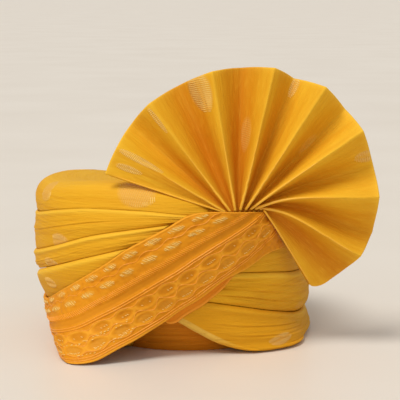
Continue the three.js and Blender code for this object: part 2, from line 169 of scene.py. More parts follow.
class Wire:
    # one socket of a node tree: arithmetic on it adds Math nodes

    def __init__(self, tree, socket=None):
        self.tree, self.socket = tree, socket

    def add(self, kind, settings=None, inputs=None, out=0):
        node = self.tree.nodes.new(kind)
        for name, value in (settings or {}).items():
            setattr(node, name, value)
        for name, value in (inputs or {}).items():
            if isinstance(value, Wire):
                self.tree.links.new(value.socket, node.inputs[name])
            else:
                node.inputs[name].default_value = value
        return Wire(self.tree, node.outputs[out])

    def math(self, operation, *values):
        return self.add("ShaderNodeMath", {"operation": operation}, dict(enumerate(values)))

    def __add__(self, other):
        return self.math("ADD", self, other)

    def __sub__(self, other):
        return self.math("SUBTRACT", self, other)

    def __rsub__(self, other):
        return self.math("SUBTRACT", other, self)

    def __mul__(self, other):
        return self.math("MULTIPLY", self, other)

    def __truediv__(self, other):
        return self.math("DIVIDE", self, other)

    __radd__, __rmul__ = __add__, __mul__

    def sine(self):
        return self.math("SINE", self)

    def floor(self):
        return self.math("FLOOR", self)

    def clamp(self):
        return self.add("ShaderNodeClamp", None, {"Value": self})

    def smooth(self):
        c = self.clamp()
        return c * c * (3 - 2 * c)

    def vector(self, x, y, z=0.0):
        return self.add("ShaderNodeCombineXYZ", None, {0: x, 1: y, 2: z})

    def noise(self, place, scale=1.0, detail=2.0):
        return self.add("ShaderNodeTexNoise", None, {"Vector": place, "Scale": scale, "Detail": detail})

    def tint(self, factor, a, b):
        return self.add("ShaderNodeMix", {"data_type": "RGBA"}, {0: factor, 6: a, 7: b}, 2)

    def named(self, name, kind="FLOAT"):
        return self.add("GeometryNodeInputNamedAttribute", {"data_type": kind}, {"Name": name})

    def stored(self, name, value, kind="FLOAT", domain="POINT"):
        # this geometry with a value kept on it
        inputs = {"Geometry": self, "Name": name, "Value": value}
        return self.add("GeometryNodeStoreNamedAttribute", {"data_type": kind, "domain": domain}, inputs)


def colour(red, green, blue):
    share = np.array([red, green, blue]) / 255
    linear = np.where(share <= 0.04045, share / 12.92, ((share + 0.055) / 1.055) ** 2.4)
    return (*linear.tolist(), 1.0)


def newMaterial(name):
    material = bpy.data.materials.new(name)
    material.use_nodes = True
    shader = material.node_tree.nodes["Principled BSDF"]
    return material, shader, Wire(material.node_tree)


def connect(wire, socket):
    wire.tree.links.new(wire.socket, socket)


def clothPlace(wire):
    # millimetres along and across the cloth, from its own map
    uv = wire.add("ShaderNodeUVMap", {"uv_map": "cloth"})
    split = wire.add("ShaderNodeSeparateXYZ", None, {0: uv})
    return split * (1 / mm), Wire(wire.tree, split.socket.node.outputs[1]) * (1 / mm)


def mark(wire, name):
    return wire.add("ShaderNodeAttribute", {"attribute_name": name}, None, 2)


# shares of each tone, and the motifs' thread: clear edge and gap between its slanted lines
# rim and hem are shares of painted highlight, and the share between them is painted shade
clothLook = {"rim": 0.7, "valley": 0.75, "hem": 0.55, "slub": 0.3, "rough": 0.66, "bump": 0.8,
             "buttiEdge": 2.2, "buttiGap": 1.7, "specular": 0.12, "sheen": 0.02, "sheenRough": 0.4}


def motifMask(along, across, motif):
    # an oval: place, half length, half width and tilt
    c, s = cosSin(motif["tilt"])
    dx, dy = (along - motif["at"][0]) * motif["stretch"], across - motif["at"][1]
    lengthwise, sideways = dx * c + dy * s, dy * c - dx * s
    far = lengthwise * lengthwise * motif["length"] ** -2 + sideways * sideways * motif["width"] ** -2
    return ((1 - far) * clothLook["buttiEdge"]).clamp() * motif["strength"]


def softGloss(shader, tone):
    shader.inputs["Specular IOR Level"].default_value = clothLook["specular"]
    shader.inputs["Sheen Weight"].default_value = clothLook["sheen"]
    shader.inputs["Sheen Roughness"].default_value = clothLook["sheenRough"]
    shader.inputs["Sheen Tint"].default_value = tone


# rim is the lighter tone for slubs and for painted highlights; pale is the painted highlight on the lowest
# turn's folded end
clothTones = {
    "deep": colour(216, 150, 20),
    "body": colour(231, 175, 36),
    "rim": colour(243, 194, 58),
    "butti": colour(226, 172, 98),
    "pale": colour(234, 198, 96),
}


def clothMaterial(name, tones, motifs, grain):
    material, shader, wire = newMaterial(name)
    along, across = clothPlace(wire)
    streak = wire.noise(wire.vector(along * grain["streakAlong"], across * grain["streakAcross"]), 1.0, 3.0)
    fine = wire.noise(wire.vector(along * grain["fineAlong"], across * grain["fineAcross"]), 1.0, 2.0)
    thread = 2 * np.pi / grain["thread"]
    weave = (along * thread).sine() * (across * thread).sine()
    base = wire.tint((streak * 1.2 - 0.1).clamp(), tones["deep"], tones["body"])
    # painted highlight from the rim mark, painted shade from the mark after it, and a pale painted highlight
    # from the hem mark
    base = wire.tint(mark(wire, "rim") * clothLook["rim"], base, tones["rim"])
    base = wire.tint(mark(wire, "valley") * clothLook["valley"], base, tones.get("valley", tones["deep"]))
    base = wire.tint(mark(wire, "hem") * clothLook["hem"], base, tones["pale"])
    base = wire.tint((fine * 2.6 - 1.35).clamp() * clothLook["slub"], base, tones["rim"])
    rough = clothLook["rough"] - streak * 0.12
    height = streak * 0.6 + fine * 0.7 + weave * 0.05
    if motifs:
        slant = along * grain["hatchAlong"] + across * grain["hatchAcross"]
        hatch = (slant * (2 * np.pi / clothLook["buttiGap"])).sine() * 0.5 + 0.5
        mask = motifMask(along, across, motifs[0])
        for motif in motifs[1:]:
            mask = mask + motifMask(along, across, motif)
        mask = mask.clamp()
        base = wire.tint(mask * (hatch * hatch * 0.5 + 0.1 + fine * 0.26), base, tones["butti"])
        rough = rough - mask * 0.14
        height = height + mask * (hatch * 0.22 + 0.1)
    connect(base, shader.inputs["Base Color"])
    connect(rough, shader.inputs["Roughness"])
    bump = wire.add("ShaderNodeBump", None, {"Strength": clothLook["bump"], "Distance": mm, "Height": height})
    connect(bump, shader.inputs["Normal"])
    softGloss(shader, colour(255, 206, 90))
    return material


def zariMaterial(name, tone, bright, shine):
    material, shader, wire = newMaterial(name)
    spot = wire.add("ShaderNodeTexCoord", None, None, 3)
    glint = wire.noise(spot, 900.0, 1.0)
    connect(wire.tint(glint, tone, bright), shader.inputs["Base Color"])
    connect(0.5 - glint * 0.25, shader.inputs["Roughness"])
    shader.inputs["Metallic"].default_value = shine
    return material


def newPiece(name, mesh, material):
    mesh.materials.clear()
    mesh.materials.append(material)
    piece = bpy.data.objects.new(name, mesh)
    bpy.context.scene.collection.objects.link(piece)
    return piece


def keepOnPoints(mesh, name, values):
    # one number or one vector for each point of a mesh
    values = np.asarray(values, np.float32)
    kind, field = ("FLOAT", "value") if values.ndim == 1 else ("FLOAT_VECTOR", "vector")
    mesh.attributes.new(name, kind, "POINT").data.foreach_set(field, values.ravel())


def gridFaces(nu, nv, first):
    i, j = np.meshgrid(np.arange(nu - 1), np.arange(nv - 1), indexing="ij")
    corners = [(i, j), (i, j + 1), (i + 1, j + 1), (i + 1, j)]
    return np.stack([first + a * nv + b for a, b in corners], -1).reshape(-1, 4)


def rowFaces(a, b):
    # triangles between two rows of points, which may differ in number
    faces, i, j = [], 0, 0
    while i < len(a) - 1 or j < len(b) - 1:
        if j == len(b) - 1 or (i < len(a) - 1 and (i + 1) / (len(a) - 1) <= (j + 1) / (len(b) - 1)):
            faces.append((a[i], a[i + 1], b[j]))
            i += 1
        else:
            faces.append((a[i], b[j + 1], b[j]))
            j += 1
    return faces


def clothMesh(name, front, back, places, marks=None):
    # two grids of points closed along all four edges; places are the cloth's own coordinates
    nu, nv = front.shape[:2]
    mv = back.shape[1]
    points = np.concatenate([front.reshape(-1, 3), back.reshape(-1, 3)])
    frontAt = np.arange(nu * nv).reshape(nu, nv)
    backAt = nu * nv + np.arange(nu * mv).reshape(nu, mv)
    faces = gridFaces(nu, nv, 0).tolist() + gridFaces(nu, mv, nu * nv)[:, ::-1].tolist()
    edges = [(frontAt[:, 0], backAt[:, 0]), (backAt[:, -1], frontAt[:, -1]),
             (backAt[0], frontAt[0]), (frontAt[-1], backAt[-1])]
    for a, b in edges:
        faces += [tuple(int(x) for x in face) for face in rowFaces(a, b)]
    mesh = bpy.data.meshes.new(name)
    mesh.from_pydata(placed(points).tolist(), [], faces)
    corner = np.zeros(len(mesh.loops), int)
    mesh.loops.foreach_get("vertex_index", corner)
    spots = np.concatenate([p.reshape(-1, 2) for p in places]) * mm
    mesh.uv_layers.new(name="cloth").data.foreach_set("uv", spots[corner].astype(np.float32).ravel())
    for label, values in (marks or {}).items():
        keepOnPoints(mesh, label, np.concatenate([values.ravel(), np.zeros(nu * mv)]))
    work = bmesh.new()
    work.from_mesh(mesh)
    bmesh.ops.remove_doubles(work, verts=work.verts, dist=2e-6)
    bmesh.ops.recalc_face_normals(work, faces=work.faces)
    for face in work.faces:
        face.smooth = True
    work.to_mesh(mesh)
    work.free()
    return mesh


def geometryTree(name, **inputs):
    # a tree with a geometry in, named sizes and a geometry out
    tree = bpy.data.node_groups.new(name, "GeometryNodeTree")
    kinds = {"Geometry": "NodeSocketGeometry", **inputs}
    for label, kind in kinds.items():
        tree.interface.new_socket(label, in_out="INPUT", socket_type=kind)
    tree.interface.new_socket("Geometry", in_out="OUTPUT", socket_type="NodeSocketGeometry")
    entry = tree.nodes.new("NodeGroupInput")
    return Wire(tree), {label: Wire(tree, entry.outputs[label]) for label in kinds}


def endTree(wire, shape, material):
    shape = wire.add("GeometryNodeSetShadeSmooth", None, {"Geometry": shape})
    shape = wire.add("GeometryNodeRealizeInstances", None, {"Geometry": shape})
    shape = wire.add("GeometryNodeSetMaterial", None, {"Geometry": shape, "Material": material})
    connect(shape, wire.tree.nodes.new("NodeGroupOutput").inputs[0])
    return wire.tree


def grown(name, source, tree, **values):
    # runs a tree on a mesh and keeps the result as a plain mesh
    piece = bpy.data.objects.new(name, source)
    bpy.context.scene.collection.objects.link(piece)
    modifier = piece.modifiers.new("shape", "NODES")
    modifier.node_group = tree
    for item in tree.interface.items_tree:
        if item.in_out == "INPUT" and item.name in values:
            modifier[item.identifier] = values[item.name]
    shape = bpy.data.meshes.new_from_object(piece.evaluated_get(bpy.context.evaluated_depsgraph_get()))
    piece.modifiers.remove(modifier)
    piece.data = shape
    return piece


# turns of cloth round the crown
folds = curves(table(
    "turn upper middle lower roll swell crest foot",
    (-30, 124, 121, 106, 0, 0, 0.4, 0), (-10, 127, 120, 103, 0, 0, 0.2, 0), (10, 131, 114, 99, 0, 0, 0.4, 0),
    (30, 131, 106, 89, 1.5, 0, 1.5, 0), (50, 126, 94, 78, 4.5, 1.5, 2.6, 0), (75, 117, 83, 67, 9, 4, 3.2, 0),
    (100, 114, 79, 58, 7.6, 4.4, 3.2, 0), (130, 112, 76, 49, 1, 2.5, 2.6, 0),
    (160, 110, 73, 41, 0.5, 0, 2.2, 0), (190, 108, 70, 33, 2, 0, 2, 0), (220, 107, 67, 26, 3, 1, 2, 0),
    (250, 106, 64, 20, 4, 3, 2, 0), (275, 106, 62, 18, 5, 8.5, 2, 2), (295, 107, 65, 23, 8.5, 10, 1.4, 5),
    (315, 110, 71, 35, 14.5, 6.5, 0.6, 14), (330, 115, 74, 45, 12, 1, 0.4, 13),
    (350, 127, 75, 53, 1, 0, 0.2, 8), (370, 131, 75, 56, 0, 0, 0.4, 0)), "turn")
lay = {"wall": 2.6, "seat": 0.9, "lap": 0.9, "tuck": 9, "tuckShare": 0.4, "underShare": 0.72, "hem": 1.0,
       "topEdge": 204, "ringRaise": 0.9, "ringGap": 1.1, "foldStart": 1.4, "foldLength": 1.5,
       "puffShare": 0.06, "noseDrop": 2.2, "noseShare": 0.12, "noseIn": 0.35, "lipIn": 1.1, "tip": 1.8,
       "tipShare": 0.48, "footRound": 2.2, "footHeight": 2.6, "footSwell": 1.2, "ringSeam": 341,
       "perDegree": 2.06, "along": 300, "atEnd": 22, "nearEnd": 0.032, "endSlant": 1.7, "step": 0.62,
       "backStep": 4.0}
# flush: how closely a turn meets the fold below it, given at some turns
# lines: pressed creases as (share of the width, depth, first turn, last turn)
wraps = {
    "top_turn": {
        "node": "top_wrap", "below": "upper", "above": None, "extra": "crest", "extraBelow": None,
        "ends": (-19, -19, 341, 341), "puff": 0.4, "flush": ((0, 0.8), (360, 0.8)), "seed": 11,
        "crinkle": 0.26, "lines": (),
        "foldRoll": ((0, 0.0), (360, 0.0)), "meanWidth": 85, "flat": (0.112, 0.70)},
    "upper_turn": {
        "node": "upper_wrap", "below": "middle", "above": "upper", "extra": None, "extraBelow": "swell",
        "ends": (-11, -12, 331, 330), "puff": 0.6, "flush": ((0, 0.8), (370, 0.8)), "seed": 23,
        "crinkle": 0.34, "lines": ((0.5, 0.55, 15, 125), (0.72, 0.3, 60, 140)),
        "foldRoll": ((0, 0.3), (360, 0.3)), "meanWidth": 38, "flat": (0.050, 0.80)},
    "middle_turn": {
        "node": "middle_wrap", "below": "lower", "above": "middle", "extra": "swell", "extraBelow": "roll",
        "ends": (6, -3, 351, 352), "puff": 0.6, "flush": ((120, 1.0), (170, 0.7), (370, 0.8)), "seed": 37,
        "crinkle": 0.34,
        "lines": ((0.34, 0.9, 272, 352), (0.55, 1.0, 272, 352), (0.74, 0.8, 272, 352), (0.4, 0.3, 40, 110)),
        "foldRoll": ((100, 0.75), (170, 0.45), (280, 0.3)), "meanWidth": 34, "flat": (0.044, 0.80)},
    "lower_turn": {
        "node": "lower_wrap", "below": None, "above": "lower", "extra": "roll", "extraBelow": None,
        "ends": (34, 12, 330, 366), "puff": 0.6, "flush": ((0, 0.0), (370, 0.0)), "seed": 53, "crinkle": 0.3,
        "lines": ((0.6, 0.6, 285, 345), (0.36, 0.5, 285, 345), (0.4, 0.3, 60, 110)),
        "foldRoll": ((120, 0.15), (170, 0.3), (280, 0.15)), "meanWidth": 40, "flat": (0.055, 0.80)},
}
foldOrder = ["lower", "middle", "upper"]
# stations across a turn: place, fullness, and share of the fold's extra stand-off
bodyPlaces = ((0.22, 0.78, 0.9), (0.52, 1, 1), (0.8, 1, 0.98))
ringPlaces = ((0.1, 0.8, 0.8), (0.21, 1, 1), (0.33, 1, 1), (0.52, 1, 0.8), (0.78, 1, 0.5))
bodyNose, ringNose = (0.93, 0.8, 0.6), (0.35, 0.1, 0)  # the same share at the three stations of the fold
footFade = ((0.22, 0.7), (0.52, 0.4), (0.8, 0.12))


def through(pairs, x):
    return np.interp(x, *zip(*pairs))


def overlapAt(fold, turn):
    place = foldOrder.index(fold)
    here = folds[fold](turn)
    under = folds[foldOrder[place - 1]](turn) if place else lay["hem"]
    over = folds[foldOrder[place + 1]](turn) if place < 2 else lay["topEdge"]
    share = lay["tuckShare"]
    return np.minimum(lay["tuck"], np.minimum((here - under) * share, (over - here) * share))


def wrapEdges(row, turn):
    low = folds[row["below"]](turn) if row["below"] else np.full_like(turn, lay["hem"])
    high = folds[row["above"]](turn) if row["above"] else np.full_like(turn, lay["topEdge"])
    return low, high


def wrapStations(row, turn):
    # level, inner and outer stand-off at each station across a turn, from its tucked edge to its fold
    low, high = wrapEdges(row, turn)
    width, none = high - low, np.zeros_like(turn)
    under = overlapAt(row["below"], turn) * lay["underShare"] if row["below"] else none
    over = overlapAt(row["above"], turn) if row["above"] else none
    extra = folds[row["extra"]](turn) if row["extra"] else none
    extraBelow = folds[row["extraBelow"]](turn) if row["extraBelow"] else none
    seat, slim = lay["seat"], lay["seat"] + lay["wall"]
    raised = slim + lay["lap"] if row["above"] else seat + lay["ringRaise"]
    full = raised + lay["wall"] + np.minimum(row["puff"], width * lay["puffShare"])
    gap = seat if row["above"] else seat + lay["ringGap"]
    overStart = high - over - lay["foldLength"]
    if row["below"]:
        start, base = low + lay["foldStart"], seat
        rise = 3.2 - mix(2.0, 0.5, through(row["flush"], turn)) + 0.5 * extraBelow
        rows = [(low - under, seat, slim), (low - 0.8, seat, slim + 0.5), (start, seat, slim + rise)]
    else:
        start, base = low, seat + 0.7
        foot = folds["foot"](turn)
        rows = [(low, base, slim + extra + foot - lay["footRound"]),
                (low + lay["footHeight"], base, slim + lay["footSwell"] + extra + foot)]
    for at, rise, share in bodyPlaces if row["above"] else ringPlaces:
        fullness = rise if row["below"] else 0.95
        outer = mix(slim, full, fullness) + extra * share
        if row["below"]:
            outer = np.maximum(outer, rows[2][2] + 0.1)
        else:
            outer = outer + foot * through(footFade, at)
        rows.append((mix(start, overStart, at), mix(base, gap, rise if row["below"] else 0), outer))
    shares = bodyNose if row["above"] else ringNose
    nose = high - np.minimum(lay["noseDrop"], width * lay["noseShare"])
    tip = raised + lay["tip"] + extra * lay["tipShare"]
    rows.append((overStart, raised, full - 0.1 + extra * shares[0]))
    rows.append((nose, raised, full - lay["noseIn"] + extra * shares[1]))
    rows.append((high, raised + 0.7 + extra * 0.15, full - lay["lipIn"] + extra * shares[2]))
    rows.append((high + 0.6, tip, tip))
    return [np.stack([column + none for column in columns], -1) for columns in zip(*rows)]


def between(values, t):
    # a curve through the stations that never swings past them
    step = np.diff(values, axis=-1)
    before, after = step[..., :-1], step[..., 1:]
    same = before * after > 0
    slope = np.where(same, 2 * before * after / np.where(same, before + after, 1), 0)
    slope = np.concatenate([step[..., :1], slope, step[..., -1:]], -1)
    k = np.clip(np.floor(t).astype(int), 0, values.shape[-1] - 2)
    f = t - k
    at = lambda a, index: np.take_along_axis(a, index[..., None], -1)[..., 0]
    return ((2 * f**3 - 3 * f**2 + 1) * at(values, k) + (f**3 - 2 * f**2 + f) * at(slope, k)
            + (3 * f**2 - 2 * f**3) * at(values, k + 1) + (f**3 - f**2) * at(slope, k + 1))


# waves as (degrees along, millimetres across, share); a pressed line is a groove with a ridge beside it
crinkle = {"waves": ((34, 6.5, 1.0), (17, 2.6, 0.5), (11, 1.5, 0.25)), "line": (26, 3.4), "lineWidth": 0.14,
           "linePatch": (22, 6), "lineDepth": 1.4, "bunched": (272, 18), "bunchedBy": 0.9, "level": 0.4,
           "groove": 0.75, "ridge": 1.0, "ridgeAt": 1.4, "ridgeShare": 0.8, "sway": 0.7, "fade": 15}


def crinkles(row, turn, across):
    # long soft creases that run with the cloth, closer together on the right
    seed = row["seed"]
    broad, fine, finest = (ripple(turn / long, across / wide, seed + k) * share
                           for k, (long, wide, share) in enumerate(crinkle["waves"]))
    (long, wide), (patchLong, patchWide) = crinkle["line"], crinkle["linePatch"]
    line = hump(ripple(turn / long, across / wide, seed + 3), crinkle["lineWidth"])
    line = line * smooth(ripple(turn / patchLong, across / patchWide, seed + 4) * 1.5 + 0.35)
    closer = 1 + crinkle["bunchedBy"] * fadeIn(turn, *crinkle["bunched"])
    uneven = broad + (fine + finest) + crinkle["level"] - crinkle["lineDepth"] * line
    height = row["crinkle"] * closer * uneven
    for share, depth, first, last in row["lines"]:
        sway = crinkle["sway"] * ripple(turn / 30, 0 * turn + share * 9, seed + 6)
        away = across - share * row["meanWidth"] - sway
        inside = fadeIn(turn, first, crinkle["fade"]) * fadeOut(turn, last, crinkle["fade"])
        ridge = crinkle["ridgeShare"] * hump(away - crinkle["ridgeAt"], crinkle["ridge"])
        height = height + depth * inside * (ridge - hump(away, crinkle["groove"]))
    return height


def wrapGrids(row):
    last = wrapStations(row, np.array([90.0]))[0].shape[-1] - 1
    levels = max(wrapStations(row, np.array([75.0, 315.0]))[0], key=np.ptp)

    def spread(step):
        count = int(np.ptp(levels) / step)
        return np.interp(np.linspace(levels[0], levels[-1], count), levels, np.arange(last + 1))
    bend = 1 - lay["nearEnd"]
    along = np.concatenate([np.linspace(0, bend, lay["along"] + 1), np.linspace(bend, 1, lay["atEnd"])[1:]])
    grids = []
    for side, step in (("outer", lay["step"]), ("inner", lay["backStep"])):
        u, t = np.meshgrid(along, spread(step), indexing="ij")
        v = t / last
        startLow, startHigh, endLow, endHigh = row["ends"]
        first, final = mix(startLow, startHigh, v), mix(endLow, endHigh, np.minimum(1, v * lay["endSlant"]))
        turn = mix(first, final, u)
        look = turn if row["above"] else np.where(turn > lay["ringSeam"], turn - 360, turn)
        q, inner, outer = (between(values, t) for values in wrapStations(row, look))
        low, high = wrapEdges(row, look)
        endGap = (1 - u) * (final - first) * lay["perDegree"]
        off = inner
        if side == "outer":
            across = (q - low) / (high - low) * row["meanWidth"]
            ringTurn = turn if row["above"] else 180 * np.abs(turn / 180 - 1)
            body = smooth((q - low + 1) / 4) * smooth((high - q) / 2.5) * mix(1, 0.55, smooth((q - 150) / 15))
            roll = hump(high - q - 2.0, 1.5) - 0.6 * hump(high - q - 5.6, 1.8)
            off = outer + crinkles(row, ringTurn, across) * body + through(row["foldRoll"], look) * roll
            if not row["below"]:
                off = off + 0.9 * hump(endGap - 7, 3.6) - 1.2 * hump(endGap, 1.6) * smooth(q / 8)
        # painted highlight: lighter along each fold edge, and over the top of the top turn
        rim = hump(high - q - 1.6, 2.0) if row["above"] else 0.4 * fadeIn(q, 138, 8)
        hem, valley = 0 * q, 0 * q
        # on the lowest turn: a pale painted highlight on its folded end, fading out near the table, and
        # painted shade over its right-hand side, away from the light
        if not row["below"]:
            hem, valley = fadeOut(endGap, 14, 2) * fadeIn(q, 5, 14), fadeIn(turn, 285, 30)
        grids.append({"points": offCrown(turn, q, off), "place": np.stack([turn * lay["perDegree"], q], -1),
                      "marks": {"rim": rim, "hem": hem, "valley": valley}})
    return grids


# motifs on the turns: turn, level, half length, half width, tilt, strength
wrapMotifs = {
    "top_turn": [(12, 143, 18, 9.5, 4, 1), (63, 140, 10, 10, 0, 0.9), (128, 150, 13, 7, 0, 0.8),
                 (205, 146, 15, 8, 5, 0.9), (262, 150, 14, 8, -4, 0.9)],
    "upper_turn": [(48, 98, 12, 7.5, 0, 1), (150, 92, 13, 6.5, 4, 0.8), (232, 86, 13, 6.5, -4, 0.8)],
    "middle_turn": [(55, 79, 11, 4.5, 0, 1), (120, 58, 13, 6, 5, 0.8), (200, 52, 13, 6, -5, 0.8),
                    (294, 31, 9, 4.5, 0, 0.4)],
    "lower_turn": [(58, 63, 9, 5, 0, 0.6), (170, 20, 12, 6, 4, 0.8), (250, 11, 10, 5, 0, 0.8),
                   (320, 10.5, 13.5, 5.2, -12, 0.9)],
}
motifColumns = ("length", "width", "tilt", "strength")
wrapGrain = {"streakAlong": 0.012, "streakAcross": 0.42, "fineAlong": 0.05, "fineAcross": 1.3, "thread": 0.8,
             "hatchAlong": 0.92, "hatchAcross": 0.38}
surfaces = {}


def surfaceOf(piece):
    mesh = piece.data
    return BVHTree.FromPolygons([v.co for v in mesh.vertices], [tuple(p.vertices) for p in mesh.polygons])


for name, row in wraps.items():
    motifs = [{"at": (turn * lay["perDegree"], q), "stretch": 1.0, **dict(zip(motifColumns, look))}
              for turn, q, *look in wrapMotifs[name]]
    outer, inner = wrapGrids(row)
    mesh = clothMesh(name, outer["points"], inner["points"], (outer["place"], inner["place"]), outer["marks"])
    row["piece"] = newPiece(name, mesh, clothMaterial(name + "_cloth", clothTones, motifs, wrapGrain))
    surfaces[name] = surfaceOf(row["piece"])
    print(name, len(mesh.polygons), "faces")


# inner shell: the wound cap under the turns
shell = {"wall": 7.5, "along": 240, "levels": 120, "insideLevels": 60, "wallTop": 140, "middle": 248,
         "crease": 0.7, "creases": (8, 15, 26), "creaseOut": (150, 20), "seam": 100, "gathers": 17,
         "gather": 1.6, "gatherIn": (196, 16), "gatherOut": (252, 30), "flat": (0.19, 0.72), "seed": 71}
shellTones = {"deep": colour(190, 108, 10), "body": colour(208, 128, 18), "rim": colour(236, 170, 60),
              "pale": colour(226, 188, 96)}


def shellGrid(count, inside):
    wallTop = shell["wallTop"]
    overTop = np.linspace(wallTop + 1, shell["middle"], count // 2)
    level = np.concatenate([np.linspace(0, wallTop, count), overTop])
    turn, q = np.meshgrid(np.linspace(0, 360, shell["along"] + 1) + shell["seam"], level, indexing="ij")
    ringTurn = 180 * np.abs(turn % 360 / 180 - 1)
    sway = q + 3 * ripple(turn / 60, 0 * q + 0.5, shell["seed"])
    low = ripple(turn / 70, sway / 6, shell["seed"] + 2) * 0.5
    for crease in shell["creases"]:
        low = low - 1.6 * hump(sway - crease, 1.1) + 0.7 * hump(sway - crease - 2.6, 1.6)
    low = low * smooth(q / 4) * fadeOut(q, *shell["creaseOut"])
    stray = 2 * ripple(ringTurn / 30, q / 40, shell["seed"] + 1)
    pull = np.sin(np.radians(turn) * shell["gathers"] + q / 22 + stray)
    pull = pull * fadeIn(q, *shell["gatherIn"]) * fadeOut(q, *shell["gatherOut"])
    if inside:
        shrink = np.minimum(shell["wall"], crown["halfWidth"](q) * 0.6)
        spot = crownPoint(turn, q, shrink)
        topZ = crown["z"](240.0)
        spot[..., 2] *= (topZ - shell["wall"]) / topZ
    else:
        spot = offCrown(turn, q, low * shell["crease"])
        spot[..., 2] += pull * shell["gather"]
    tip = spot[:, -1:].mean(0, keepdims=True) + 0 * spot[:, -1:]
    place = np.stack([turn * lay["perDegree"], q], -1)
    return np.concatenate([spot, tip], 1), np.concatenate([place, place[:, -1:]], 1)


outer, outerPlace = shellGrid(shell["levels"], False)
inner, innerPlace = shellGrid(shell["insideLevels"], True)
mesh = clothMesh("inner_shell", outer, inner, (outerPlace, innerPlace))
innerShell = newPiece("inner_shell", mesh, clothMaterial("inner_cloth", shellTones, [], wrapGrain))
print("inner_shell", len(mesh.polygons), "faces")


# brocade band from the knot down to the left and round to the back
bandCurves = curves(table(
    "index turnTop top offTop turnLow low offLow",
    (0, -42, 128.5, 12, -54, 91.5, 11.4), (1, -29.5, 132, 17, -43, 87, 11.9),
    (2, -17, 135, 17, -33, 77.5, 11.9), (3, -9.5, 131.5, 14.5, -23.5, 69, 11.9),
    (4, -2, 119.5, 12, -14.5, 56, 11.9), (5, 6, 108.5, 12, -6, 46.5, 12.8),
    (6, 14, 98, 12, 2, 36, 15), (7, 22, 86, 9.5, 12, 25, 26), (8, 33, 72.5, 9.3, 22, 13, 49),
    (9, 41, 63.5, 10.9, 29, 3.5, 70), (10, 50, 54.5, 12.7, 35, 0.8, 80), (11, 59, 46, 15.7, 41, 0.8, 73),
    (12, 68, 39.5, 18.9, 49, 1.2, 55), (13, 82, 36, 19.5, 62, 1.6, 38), (14, 100, 35, 20, 84, 2, 23),
    (15, 122, 34.5, 15.3, 110, 2.5, 15.3), (16, 146, 33, 10.6, 138, 3, 10.4)), "index")
band = {"rows": 16, "wall": 2.4, "along": 520, "across": 110, "backAcross": 12, "width": 66.0, "period": 21.0,
        "edge": 1.3, "edgeRoll": 0.5, "pucker": 0.45, "sway": 0.6, "slope": 33.2, "skew": 13.0,
        "straightUntil": (3.4, 2.6), "flat": (0.066, 0.43), "seed": 83}
# rows across the band, measured down from its upper edge
bandLines = {"leafA": 5.2, "waveA": 10.8, "leafB": 16.4, "ribs": 25.6, "stripTop": 28.2, "stripLow": 34.4,
             "pipeA": 35.9, "pipes": 36.9, "pipeB": 37.8, "waveB": 40.6, "ovalC": 44.8, "ovals": 49.5,
             "waveC": 49.8, "ovalD": 54.6, "waveD": 58.8, "lineA": 61.6, "lineB": 63.4}
# swing and shift of each wavy line
waves = {"waveA": (1.4, 0.5), "waveB": (1.3, 0.25), "waveC": (2.6, 0.75), "waveD": (1.3, 0.25)}
oval = {"length": 7.4, "width": 3.5, "depth": 0.6, "ring": 0.45, "ringAt": 1.28, "ringWidth": 0.2}
leaf = {"length": 7.2, "width": 3.1, "tilt": 4, "rise": 0.3, "strokes": 9, "lean": 1.9, "stray": 0.45,
        "missed": 0.14}
relief = {"swell": 0.4, "strip": 0.7, "stripEdge": 1.2, "ribs": 0.45, "pipes": 0.5, "furrow": 0.5}


def bandPoint(s, v, off):
    at = lambda name: bandCurves[name](s)
    turn = mix(at("turnLow"), at("turnTop"), v)
    sag = band["sway"] * ripple(s / 0.9, 0 * s, band["seed"] + 3) * smooth((at("low") - 4) / 14)
    return besideCrown(turn, mix(at("low") + sag, at("top"), v), mix(at("offLow"), at("offTop"), v) + off)


bandSteps = np.linspace(0, band["rows"], 801)
bandMiddle = bandPoint(bandSteps, 0.5, 0 * bandSteps)
bandArc = np.concatenate([[0], np.cumsum(np.linalg.norm(np.diff(bandMiddle, axis=0), axis=1))])
print("band is %.0f mm long" % bandArc[-1])


def clothAt(s, v):
    # millimetres along the band's cloth and down from its edge; towards the knot the rows keep their slope
    # and run off under the folded edge
    at = lambda name: bandCurves[name](s)
    c, sine = cosSin(band["slope"])
    x = (mix(at("turnLow"), at("turnTop"), v) - bandCurves["turnTop"](4.0)) * lay["perDegree"]
    z = mix(at("low"), at("top"), v) - bandCurves["top"](4.0)
    meet = (bandCurves["turnTop"](5.0) - bandCurves["turnTop"](4.0)) * lay["perDegree"] / c
    straight = x * c - z * sine - meet + np.interp(5.0, bandSteps, bandArc)
    drop = -x * sine - z * c
    share = fadeIn(s, *band["straightUntil"])
    along = np.interp(s, bandSteps, bandArc) + band["skew"] * (1 - v)
    return mix(straight, along, share), mix(drop, (1 - v) * band["width"], share)


def bandAt(along, down):
    # the place on the band under a point of the cloth, and whether there is one
    v = 1 - down / band["width"]
    s = np.interp(along - band["skew"] * (1 - v), bandArc, bandSteps)
    for _ in range(14):
        a, d = clothAt(s, v)
        aS, dS = clothAt(s + 0.01, v)
        aV, dV = clothAt(s, v + 0.005)
        ss, sv, ds, dv = (aS - a) / 0.01, (aV - a) / 0.005, (dS - d) / 0.01, (dV - d) / 0.005
        det = ss * dv - sv * ds
        det = np.where(np.abs(det) < 1, 1, det)
        s = np.clip(s + np.clip(((along - a) * dv - (down - d) * sv) / det, -1, 1), 0, band["rows"])
        v = np.clip(v + np.clip(((down - d) * ss - (along - a) * ds) / det, -0.3, 0.3), -0.1, 1.1)
    a, d = clothAt(s, v)
    inside = (v > 0.012) & (v < 0.988) & (s > 0.05) & (s < band["rows"] - 0.05)
    return s, v, (np.hypot(a - along, d - down) < 0.3) & inside


def phase(along, shift):
    return ((along / band["period"] + shift) % 1 - 0.5) * band["period"]


